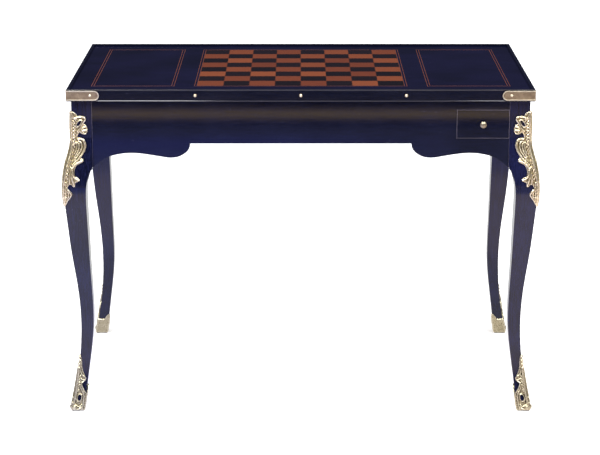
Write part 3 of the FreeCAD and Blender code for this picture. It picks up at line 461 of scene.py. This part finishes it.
def to_four_corners(piece, kind):
    """The front left casting and its mirrored copies on the other three legs, each in place of a CAD node."""
    for corner in CORNERS:
        copy = piece
        if corner != "front_left":
            copy = bpy.data.objects.new(piece.name.replace("front_left", corner), piece.data.copy())
            bpy.context.collection.objects.link(copy)
            across = -1 if corner.endswith("right") else 1
            deep = -1 if corner.startswith("back") else 1
            copy.data.transform(Matrix.Diagonal((across, deep, 1, 1)))
            if across * deep < 0:
                copy.data.flip_normals()
        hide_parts(corner + kind)
        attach(copy, "frame")


KNEE_TOP, KNEE_LENGTH, KNEE_WIDTH = 700, 214, 36
# Each stroke runs through points: share of the width in from the corner, share of the length down, radius.
KNEE_STROKES = (
    # stem down the corner
    ((0.0, 0.03, 1.6), (0.0, 0.10, 2.4), (0.0, 0.20, 2.6), (0.0, 0.28, 2.3), (0.02, 0.36, 2.5),
     (0.05, 0.45, 2.8), (0.06, 0.55, 2.8), (0.04, 0.66, 2.4), (0.0, 0.76, 2.2), (0.0, 0.86, 2.2),
     (0.0, 0.94, 1.8), (0.0, 1.0, 1.0)),
    ((0.12, 0.74, 1.2), (0.11, 0.78, 1.6), (0.12, 0.86, 1.8), (0.08, 0.93, 1.6), (0.03, 0.98, 1.0)),
    # curled tip at the top
    ((0.12, 0.06, 1.8), (0.02, 0.022, 1.8), (-0.06, 0.008, 1.5), (-0.15, 0.004, 1.0)),
    # hooked spray round the eye
    ((0.24, 0.10, 1.9), (0.34, 0.068, 2.0), (0.52, 0.062, 1.9), (0.72, 0.062, 2.0), (0.84, 0.078, 2.1),
     (0.78, 0.105, 1.8), (0.68, 0.132, 1.7), (0.60, 0.160, 1.9), (0.48, 0.192, 2.0), (0.32, 0.215, 2.0)),
    ((0.66, 0.150, 1.2), (0.60, 0.178, 1.7), (0.50, 0.208, 1.8), (0.36, 0.232, 1.6)),
    # bud of three lobes
    ((0.50, 0.205, 1.4), (0.68, 0.178, 2.5), (0.84, 0.168, 2.3), (0.90, 0.172, 1.2)),
    ((0.52, 0.212, 1.4), (0.72, 0.205, 2.9), (0.90, 0.200, 2.5), (0.97, 0.200, 1.3)),
    ((0.50, 0.218, 1.4), (0.68, 0.230, 2.3), (0.82, 0.238, 2.0), (0.90, 0.236, 1.1)),
    # scroll: its rim, and the flutes inside it
    ((0.34, 0.300, 1.5), (0.52, 0.294, 2.1), (0.72, 0.308, 2.6), (0.83, 0.345, 2.9), (0.84, 0.395, 2.8),
     (0.78, 0.445, 2.5), (0.66, 0.492, 2.2), (0.50, 0.532, 1.9), (0.36, 0.565, 1.6)),
    ((0.40, 0.318, 1.4), (0.56, 0.330, 1.9), (0.65, 0.368, 2.0), (0.63, 0.418, 1.9), (0.53, 0.468, 1.7),
     (0.40, 0.515, 1.4)),
    ((0.33, 0.325, 1.3), (0.44, 0.345, 1.8), (0.49, 0.385, 1.9), (0.45, 0.435, 1.8), (0.36, 0.485, 1.4)),
    ((0.26, 0.325, 1.2), (0.33, 0.360, 1.7), (0.35, 0.400, 1.7), (0.31, 0.450, 1.4)),
    # hook
    ((0.33, 0.640, 1.9), (0.42, 0.590, 2.1), (0.54, 0.555, 2.1), (0.72, 0.532, 1.9), (0.88, 0.520, 2.3),
     (0.95, 0.515, 1.6)),
    # leaf tips
    ((0.36, 0.590, 1.7), (0.46, 0.635, 2.2), (0.54, 0.675, 2.3), (0.70, 0.702, 1.8), (0.92, 0.722, 0.9)),
    ((0.36, 0.625, 1.7), (0.44, 0.685, 2.2), (0.56, 0.735, 2.2), (0.65, 0.782, 1.0)),
    ((0.31, 0.580, 1.7), (0.32, 0.660, 2.0), (0.34, 0.725, 2.0), (0.38, 0.765, 1.1)),
    # tail leaf
    ((0.12, 0.790, 1.5), (0.24, 0.818, 1.9), (0.38, 0.845, 2.1), (0.44, 0.870, 1.8), (0.36, 0.902, 1.6),
     (0.22, 0.932, 1.4), (0.08, 0.975, 0.9)),
    ((0.14, 0.820, 1.3), (0.26, 0.850, 1.7), (0.28, 0.880, 1.6), (0.20, 0.915, 1.3), (0.08, 0.955, 0.9)),
    # small knobs on the corner
    ((-0.02, 0.285, 1.2), (-0.06, 0.300, 2.6), (-0.02, 0.318, 1.2)),
    ((0.0, 0.715, 1.2), (-0.05, 0.730, 2.2), (0.0, 0.745, 1.2)),
)
# Leaflets that grow from the stem, one below the other.
STEM_LEAFLETS, FIRST_SHARE, SPACING_SHARE = 18, 0.055, 0.036
stem_leaflets = tuple(
    ((0.03, down, 1.3), (0.12, down + 0.014, 2.0), (0.22, down + 0.040, 1.1))
    for down in (FIRST_SHARE + SPACING_SHARE * number for number in range(STEM_LEAFLETS)))
knee_strokes = [
    [(across * KNEE_WIDTH, KNEE_TOP - down * KNEE_LENGTH, PLATE + LIFT_SHARE * radius, radius)
     for across, down, radius in stroke]
    for stroke in KNEE_STROKES + stem_leaflets]
# An eye is: in from the corner, height, width, length, and how far it leans.
KNEE_EYE = (16.2, 672.2, 6.5, 17.6, math.radians(38))
gilt_knee = casting(
    "front_left_gilt_knee", "front_left_knee_mount", knee_strokes, KNEE_EYE, True, knee_gilding)
to_four_corners(gilt_knee, "_knee_mount")


# Shoes
# Cast bronze cups on the feet, with a leaf up the outer corner that ends in a row of beads, a pierced eye, a
# lobe up the inner corner and a rolled toe. Gilt and pinned on as the knee mounts are, but dulled by mops.

SHOE_LEAF_HEIGHT, SHOE_LEAF_WIDTH = 130, 35
# Each stroke runs through points: share of the width in from the corner, share of the leaf's height, radius.
SHOE_STROKES = (
    # stem up the corner
    ((0.02, 0.10, 2.6), (0.04, 0.22, 2.6), (0.05, 0.36, 2.3), (0.04, 0.52, 2.1), (0.03, 0.66, 1.8),
     (0.01, 0.76, 1.5)),
    # upper leaf with two tips
    ((0.08, 0.76, 1.0), (0.18, 0.685, 1.6), (0.30, 0.640, 1.9), (0.42, 0.612, 1.7), (0.55, 0.588, 0.9)),
    ((0.14, 0.620, 1.4), (0.24, 0.575, 1.8), (0.36, 0.555, 1.6), (0.48, 0.548, 0.8)),
    # edge of the lower leaf, and the rib inside it
    ((0.28, 0.515, 1.3), (0.35, 0.455, 1.7), (0.47, 0.395, 1.9), (0.60, 0.350, 1.8), (0.66, 0.330, 1.4)),
    ((0.22, 0.470, 1.3), (0.30, 0.420, 1.6), (0.44, 0.360, 1.7), (0.58, 0.295, 1.7), (0.63, 0.200, 1.6),
     (0.64, 0.100, 1.4), (0.63, 0.035, 1.1)),
    ((0.30, 0.500, 1.0), (0.38, 0.508, 1.5), (0.43, 0.520, 0.8)),
    # scrolls along the sole
    ((0.06, 0.130, 2.0), (0.20, 0.105, 2.1), (0.34, 0.085, 2.0), (0.46, 0.090, 1.9), (0.54, 0.120, 1.5)),
    ((0.10, 0.045, 2.0), (0.28, 0.035, 2.1), (0.42, 0.042, 2.0), (0.54, 0.055, 1.8), (0.62, 0.045, 1.4)),
    ((0.22, 0.070, 1.2), (0.26, 0.062, 1.9), (0.32, 0.060, 1.2)),
    ((0.50, 0.066, 1.2), (0.55, 0.068, 1.7), (0.60, 0.072, 1.1)),
    # knobs on the corner
    ((-0.02, 0.225, 1.0), (-0.05, 0.242, 2.1), (-0.01, 0.258, 1.0)),
    ((-0.02, 0.135, 1.0), (-0.06, 0.150, 2.3), (-0.01, 0.166, 1.0)),
)
# Leaflets that grow from the stem, one above the other.
SHOE_LEAFLETS, FIRST_SHARE, SPACING_SHARE = 6, 0.33, 0.052
shoe_leaflets = tuple(
    ((0.05, up, 1.2), (0.13, up + 0.022, 1.9), (0.20, up + 0.055, 1.0))
    for up in (FIRST_SHARE + SPACING_SHARE * number for number in range(SHOE_LEAFLETS)))
shoe_strokes = [
    [(across * SHOE_LEAF_WIDTH, up * SHOE_LEAF_HEIGHT, PLATE + LIFT_SHARE * radius, radius)
     for across, up, radius in stroke]
    for stroke in SHOE_STROKES + shoe_leaflets]
# A bead is a short stroke on the corner, with thin ends that are sunk deeper in the plate than its middle.
BEADS = ((0.700, 2.2), (0.765, 2.4), (0.832, 2.5), (0.900, 2.6), (0.966, 2.6))
BEAD_SINK, BEAD_END_SINK, BEAD_END_IN, BEAD_END_SHARE = 0.2, 0.6, 0.4, 0.3
for up, radius in BEADS:
    middle = up * SHOE_LEAF_HEIGHT
    low_end = (BEAD_END_IN, middle - radius, PLATE - BEAD_END_SINK, BEAD_END_SHARE * radius)
    high_end = (BEAD_END_IN, middle + radius, PLATE - BEAD_END_SINK, BEAD_END_SHARE * radius)
    shoe_strokes.append([low_end, (0.0, middle, PLATE - BEAD_SINK, radius), high_end])
shoe_gilding = gilt_bronze("mopped_gilt_bronze", "#3e3628", "#b5aa89", "#e8e2c6")
SHOE_EYE = (11.5, 30.5, 8.8, 14.8, math.radians(10))
gilt_shoe = casting("front_left_gilt_shoe", "front_left_shoe", shoe_strokes, SHOE_EYE, False, shoe_gilding)
to_four_corners(gilt_shoe, "_shoe")


# Lid
# A panel in a mitred edge moulding of stained pearwood, veneered black on top. The moulding has a bead along
# its top and its bottom, and the beads are painted paler brown, partly as rubbed wear and partly as a painted
# highlight.

RIM_BLUE = "#0e1020"
low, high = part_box("lid_front_rim")
RIM_MIDDLE, RIM_HALF_HEIGHT = (low.z + high.z) / 2, (high.z - low.z) / 2
LONG_BEADS = ("Y", -low.y, RIM_MIDDLE, RIM_HALF_HEIGHT)
SHORT_BEADS = ("X", -low.x, RIM_MIDDLE, RIM_HALF_HEIGHT)
give(ebonised_pearwood("ebonised_pearwood_long_edge", "X", RIM_BLUE, beads_lit_and_worn=LONG_BEADS),
     "lid_front_rim", "lid_back_rim")
give(ebonised_pearwood("ebonised_pearwood_short_edge", "Y", RIM_BLUE, beads_lit_and_worn=SHORT_BEADS),
     "lid_left_rim", "lid_right_rim")
give(ebonised_pearwood("ebonised_veneer", "X", "#10102b"), "lid_veneer", "lid_panel")


# Chessboard
# Thirty-two squares of padouk and thirty-two of black stained veneer, laid as one sheet, let into the lid's
# veneer and polished with it.

CHESS_SQUARE, CHESS_STREAK = 58 * MM, 1.4 * MM
give(polished_veneer("padouk_squares", "X", "#572715", "#733b20", CHESS_STREAK, 0.22, CHESS_SQUARE),
     "chess_light_squares")
give(polished_veneer("black_stained_squares", "X", "#090506", "#140b0d", CHESS_STREAK, 0.18, CHESS_SQUARE),
     "chess_dark_squares")


# Stringing
# Fine double lines of red stained boxwood round the chessboard and round both side panels, glued into
# grooves in the veneer and polished with it.

STRINGING_STREAK = 6 * MM
give(polished_veneer("red_boxwood_stringing", "Z", "#421c11", "#632f1c", STRINGING_STREAK, 0.34),
     "chess_stringing", "left_panel_stringing", "right_panel_stringing")


# Lid lining
# A sheet of green baize, which is felted wool, cut square and glued flat to the underside of the lid's
# panel.

BAIZE_LENGTH, BAIZE_DEPTH, BAIZE_THICKNESS = 932 * MM, 492 * MM, 1.2 * MM
STEPS_LONG, STEPS_DEEP = 96, 52
baize_cloth, tree, surface = new_material("green_baize")
# A felted nap hides the weave: it scatters light at grazing angles and shows as a soft mottle.
place = add_node(tree, "TexCoord", {}, {}).outputs["Object"]
nap_width, nap_depth = 0.8 * MM, 0.4 * MM
nap = add_node(tree, "TexNoise", {}, {"Vector": place, "Scale": 1 / nap_width, "Detail": 4.0})
tone = add_node(tree, "ValToRGB", {}, {"Fac": nap.outputs["Fac"]}, [(0.3, "#153c24"), (0.7, "#2f6b42")])
tree.links.new(tone.outputs["Color"], surface.inputs["Base Color"])
fuzz = add_node(tree, "Bump", {}, {"Strength": 0.6, "Distance": nap_depth, "Height": nap.outputs["Fac"]})
tree.links.new(fuzz.outputs["Normal"], surface.inputs["Normal"])
surface.inputs["Roughness"].default_value = 0.95
surface.inputs["Specular IOR Level"].default_value = 0.1
surface.inputs["Sheen Weight"].default_value = 0.15
surface.inputs["Sheen Tint"].default_value = linear("#6f9a7a")
low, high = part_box("lid_baize")
bpy.ops.object.select_all(action="DESELECT")
bpy.ops.mesh.primitive_grid_add(
    x_subdivisions=STEPS_LONG, y_subdivisions=STEPS_DEEP, size=1, location=(0, 0, (low.z + high.z) / 2))
baize = bpy.context.object
baize.name = "lid_lining"
baize.scale = (BAIZE_LENGTH, BAIZE_DEPTH, 1)
bpy.ops.object.transform_apply(location=True, rotation=True, scale=True)
cloth = baize.modifiers.new("cloth_thickness", "SOLIDIFY")
cloth.thickness = BAIZE_THICKNESS
cloth.offset = 0
bpy.ops.object.modifier_apply(modifier=cloth.name)
bpy.ops.object.shade_smooth_by_angle(angle=math.radians(40))
baize.data.materials.append(baize_cloth)
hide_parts("lid_baize")
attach(baize, "lid")


# Lid brass
# Corner straps of cast brass, screwed over the mitres of the moulding, and small studs in the long edges.
# The raised borders and heads are rubbed bright, and the sunk fields have gone dull and pinkish brown.

brass, tree, surface = new_material("aged_brass")
place = add_node(tree, "TexCoord", {}, {}).outputs["Object"]
parts = add_node(tree, "SeparateXYZ", {}, {"Vector": place})
# Behind a strap's outside: where a face is all dull, as a field is, and where it is all bright, as a border.
FIELD_BEHIND, BORDER_BEHIND = 0.65 * MM, 0.1 * MM
strap_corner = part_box("front_left_strap")[0]
outs = []
for axis, outside in (("X", -strap_corner.x), ("Y", -strap_corner.y)):
    side = add_node(tree, "Math", {"operation": "ABSOLUTE"}, {0: parts.outputs[axis]})
    past = add_node(tree, "Math", {"operation": "SUBTRACT"}, {0: side.outputs[0], 1: outside})
    outs.append(past.outputs[0])
out = add_node(tree, "Math", {"operation": "MAXIMUM"}, {0: outs[0], 1: outs[1]})
raised = add_node(tree, "MapRange", {}, {
    "Value": out.outputs[0], "From Min": -FIELD_BEHIND, "From Max": -BORDER_BEHIND})
smear_width, scuff_depth, edge_radius = 9 * MM, 0.3 * MM, 0.5 * MM
smear = add_node(tree, "TexNoise", {}, {
    "Vector": place, "Scale": 1 / smear_width, "Detail": 5.0, "Roughness": 0.6})
dull = add_node(tree, "ValToRGB", {}, {"Fac": smear.outputs["Fac"]}, [(0.3, "#93816a"), (0.7, "#b9a789")])
bright = add_node(tree, "ValToRGB", {}, {"Fac": smear.outputs["Fac"]}, [(0.3, "#f0e6c4"), (0.6, "#fff8e0")])
tone = add_node(tree, "Mix", {"data_type": "RGBA"}, {
    "Factor": raised.outputs[0], 6: dull.outputs["Color"], 7: bright.outputs["Color"]})
tree.links.new(tone.outputs[2], surface.inputs["Base Color"])
gloss = add_node(tree, "MapRange", {}, {"Value": raised.outputs[0], "To Min": 0.5, "To Max": 0.42})
tree.links.new(gloss.outputs[0], surface.inputs["Roughness"])
softened = add_node(tree, "Bevel", {"samples": 4}, {"Radius": edge_radius})
scuffs = add_node(tree, "Bump", {}, {
    "Strength": 0.12, "Distance": scuff_depth, "Height": smear.outputs["Fac"],
    "Normal": softened.outputs["Normal"]})
tree.links.new(scuffs.outputs["Normal"], surface.inputs["Normal"])
surface.inputs["Metallic"].default_value = 1.0
give(brass, "edge_studs", *(corner + "_strap" for corner in CORNERS))


# Strap screws
# Domed brass screws, turned, one through each face of a strap into the moulding. Each has a sawn slot that
# stands as the driver left it.

# A screw's place from the lid's middle, across and deep: on a long side of the lid, and on a short side.
SCREW_PLACES = ((467 * MM, 301 * MM), (521 * MM, 247 * MM))
# The saw's cut in millimetres, centred on the strap's face.
CUT_DEPTH, CUT_LENGTH, CUT_WIDTH = 1.6, 8, 0.9
# In degrees: the first slot, and how much further a slot is turned with each strap and on a short side.
FIRST_TURN, STRAP_TURN, SHORT_SIDE_TURN = 35, 47, 71
screws = bpy.data.objects.new("slotted_strap_screws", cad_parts["strap_screws"].data.copy())
bpy.context.collection.objects.link(screws)
slots = []
for number, (across, deep) in enumerate((x, y) for x in (-1, 1) for y in (-1, 1)):
    for on_side, (x, y) in enumerate(SCREW_PLACES):
        bpy.ops.object.select_all(action="DESELECT")
        bpy.ops.mesh.primitive_cube_add(size=MM, location=(across * x, deep * y, RIM_MIDDLE))
        slot = bpy.context.object
        slot.scale = (CUT_DEPTH, CUT_LENGTH, CUT_WIDTH) if on_side else (CUT_LENGTH, CUT_DEPTH, CUT_WIDTH)
        turn = math.radians(FIRST_TURN + STRAP_TURN * number + SHORT_SIDE_TURN * on_side)
        slot.rotation_euler = (turn, 0, 0) if on_side else (0, turn, 0)
        slots.append(slot)
bpy.ops.object.select_all(action="DESELECT")
for slot in slots:
    slot.select_set(True)
bpy.context.view_layer.objects.active = slots[0]
bpy.ops.object.join()
bpy.ops.object.transform_apply(location=True, rotation=True, scale=True)
saw = bpy.context.object
bpy.ops.object.select_all(action="DESELECT")
screws.select_set(True)
bpy.context.view_layer.objects.active = screws
bpy.ops.object.mode_set(mode="EDIT")
bpy.ops.mesh.select_all(action="SELECT")
bpy.ops.mesh.remove_doubles(threshold=WELD)
bpy.ops.object.mode_set(mode="OBJECT")
cut = screws.modifiers.new("sawn_slots", "BOOLEAN")
cut.object = saw
bpy.ops.object.modifier_apply(modifier=cut.name)
bpy.data.objects.remove(saw)
bpy.ops.object.shade_smooth_by_angle(angle=math.radians(35))
screws.data.materials.clear()
screws.data.materials.append(brass)
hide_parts("strap_screws")
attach(screws, "lid")


# Drawer knobs
# Small turned brass knobs with a rose and a round head, screwed into the drawer fronts. Fingers have left
# them grey and half dull.

handled_brass, tree, surface = new_material("handled_brass")
# Old lacquer and grease: a soft grey gold that is a little darker in patches.
place = add_node(tree, "TexCoord", {}, {}).outputs["Object"]
patch_width = 3 * MM
patch = add_node(tree, "TexNoise", {}, {"Vector": place, "Scale": 1 / patch_width, "Detail": 3.0})
tone = add_node(tree, "ValToRGB", {}, {"Fac": patch.outputs["Fac"]}, [(0.35, "#857a66"), (0.65, "#b3a88f")])
tree.links.new(tone.outputs["Color"], surface.inputs["Base Color"])
gloss = add_node(tree, "MapRange", {}, {"Value": patch.outputs["Fac"], "To Min": 0.5, "To Max": 0.4})
tree.links.new(gloss.outputs[0], surface.inputs["Roughness"])
surface.inputs["Metallic"].default_value = 1.0
give(handled_brass, "front_drawer_knob", "back_drawer_knob")


# Studio
# A white paper floor, the tinted sheen that only reflections see on it, a white wall far off, soft light from
# above, two high lamps in front, a warm strip low in front, and a camera.

FLOOR_SIZE = 60.0
paper, tree, surface = new_material("white_paper_floor")
# Matt white paper. It glows a little, so that it comes out plain white.
surface.inputs["Base Color"].default_value = linear("#f3f3f3")
surface.inputs["Roughness"].default_value = 0.9
surface.inputs["Specular IOR Level"].default_value = 0.1
surface.inputs["Emission Color"].default_value = linear("#ffffff")
surface.inputs["Emission Strength"].default_value = 0.47
bpy.ops.object.select_all(action="DESELECT")
bpy.ops.mesh.primitive_plane_add(size=FLOOR_SIZE, location=(0, 0, 0))
floor = bpy.context.object
floor.name = "studio_floor"
floor.data.materials.append(paper)
floor.visible_glossy = False

SHEEN_FRONT, SHEEN_STEP, SHEEN_BACK, CARD_BACK = -3.4, -2.2, 0.9, 30.0
SHEEN_LEFT, SHEEN_RIGHT = -0.1, 0.6
# The sheen's colours along Y, from in front of the table to behind it: on the left, and on the right.
SHEEN_TINTS = (
    (SHEEN_FRONT, "#615d61", "#615d61"),
    (-3.3, "#61617c", "#615d59"),
    (-3.12, "#696cd7", "#615d61"),
    (SHEEN_STEP - 0.05, "#9ba2cb", "#7c7c99"),
    (SHEEN_STEP + 0.05, "#ddced4", "#e2cec2"),
    (-1.3, "#e7dfef", "#eadad7"),
    (-0.6, "#d4d4f6", "#e7d8d7"),
    (0.0, "#bcbace", "#c2bcbf"),
    (SHEEN_BACK, "#bcbcbc", "#bcbcbc"),
)
sheen, tree, surface = new_material("floor_sheen")
# A glowing card whose colours are painted reflections of the floor in the polish: dark far in front, pale and
# mauve near the table, bluer on the left.
place = add_node(tree, "TexCoord", {}, {}).outputs["Object"]
parts = add_node(tree, "SeparateXYZ", {}, {"Vector": place})
backwards = add_node(tree, "MapRange", {}, {
    "Value": parts.outputs["Y"], "From Min": SHEEN_FRONT, "From Max": SHEEN_BACK})
rightwards = add_node(tree, "MapRange", {}, {
    "Value": parts.outputs["X"], "From Min": SHEEN_LEFT, "From Max": SHEEN_RIGHT})
left_stops = []
right_stops = []
for depth, left, right in SHEEN_TINTS:
    share = (depth - SHEEN_FRONT) / (SHEEN_BACK - SHEEN_FRONT)
    left_stops.append((share, left))
    right_stops.append((share, right))
left_tint = add_node(tree, "ValToRGB", {}, {"Fac": backwards.outputs[0]}, left_stops)
right_tint = add_node(tree, "ValToRGB", {}, {"Fac": backwards.outputs[0]}, right_stops)
tint = add_node(tree, "Mix", {"data_type": "RGBA"}, {
    "Factor": rightwards.outputs[0], 6: left_tint.outputs["Color"], 7: right_tint.outputs["Color"]})
tree.links.new(tint.outputs[2], surface.inputs["Emission Color"])
surface.inputs["Base Color"].default_value = linear("#000000")
surface.inputs["Emission Strength"].default_value = 2.0
bpy.ops.object.select_all(action="DESELECT")
bpy.ops.mesh.primitive_plane_add(size=1.0, location=(0, (SHEEN_FRONT + CARD_BACK) / 2, 0))
card = bpy.context.object
card.name = "studio_floor_sheen"
card.scale = (FLOOR_SIZE, CARD_BACK - SHEEN_FRONT, 1.0)
bpy.ops.object.transform_apply(location=True, rotation=True, scale=True)
card.data.materials.append(sheen)
card.visible_camera = card.visible_diffuse = card.visible_shadow = False

WALL_RADIUS, WALL_HEIGHT, WALL_PANES = 29.0, 16.0, 96
wall_paper, tree, surface = new_material("white_paper_wall")
# White paper that only the camera sees. It lights nothing and shows in no reflection.
surface.inputs["Base Color"].default_value = linear("#000000")
surface.inputs["Emission Color"].default_value = linear("#ffffff")
surface.inputs["Emission Strength"].default_value = 1.1
bpy.ops.object.select_all(action="DESELECT")
bpy.ops.mesh.primitive_cylinder_add(
    vertices=WALL_PANES, radius=WALL_RADIUS, depth=WALL_HEIGHT, end_fill_type="NOTHING",
    location=(0, 0, WALL_HEIGHT / 2))
wall = bpy.context.object
wall.name = "studio_wall"
bpy.ops.object.transform_apply(location=True, rotation=True, scale=True)
wall.data.materials.append(wall_paper)
wall.visible_diffuse = wall.visible_glossy = wall.visible_transmission = wall.visible_shadow = False

ceiling = bpy.data.worlds.new("soft_ceiling")
bpy.context.scene.world = ceiling
ceiling.use_nodes = True
tree = ceiling.node_tree
direction = add_node(tree, "TexCoord", {}, {}).outputs["Generated"]
rise = add_node(tree, "SeparateXYZ", {}, {"Vector": direction})
sky = add_node(tree, "ValToRGB", {}, {"Fac": rise.outputs["Z"]}, [(0.3, "#272733"), (0.75, "#fdfdff")])
tree.links.new(sky.outputs["Color"], tree.nodes["Background"].inputs["Color"])
tree.nodes["Background"].inputs["Strength"].default_value = 1.27

LAMP_AIM, LAMP_SIZE = Vector((0, 0, 0.5)), 2.0
for name, place, power in (
    ("key_light", (-1.7, -2.4, 4.4), 255),
    ("fill_light", (2.0, -2.2, 4.2), 160),
):
    bpy.ops.object.light_add(type="AREA", location=place)
    lamp = bpy.context.object
    lamp.name = name
    lamp.data.size = LAMP_SIZE
    lamp.data.energy = power
    lamp.rotation_euler = (LAMP_AIM - Vector(place)).to_track_quat("-Z", "Y").to_euler()

STRIP_PLACE, STRIP_LENGTH, STRIP_DEPTH, STRIP_POWER = (0.045, -3.55, 0.02), 1.81, 0.15, 1.72
bpy.ops.object.light_add(type="AREA", location=STRIP_PLACE, rotation=(math.pi, 0, 0))
strip = bpy.context.object
strip.name = "warm_strip"
strip.data.shape = "RECTANGLE"
strip.data.size = STRIP_LENGTH
strip.data.size_y = STRIP_DEPTH
strip.data.energy = STRIP_POWER
strip.data.color = linear("#ffda81")[:3]
strip.visible_camera = False

CAMERA_PLACE, CAMERA_TILT, CAMERA_LENS = (-0.0017, -4.742, 1.613), math.radians(75.146), 122.53
bpy.ops.object.camera_add(location=CAMERA_PLACE, rotation=(CAMERA_TILT, 0, 0))
camera = bpy.context.object
camera.data.lens = CAMERA_LENS
bpy.context.scene.camera = camera
bpy.context.scene.view_settings.view_transform = "Standard"
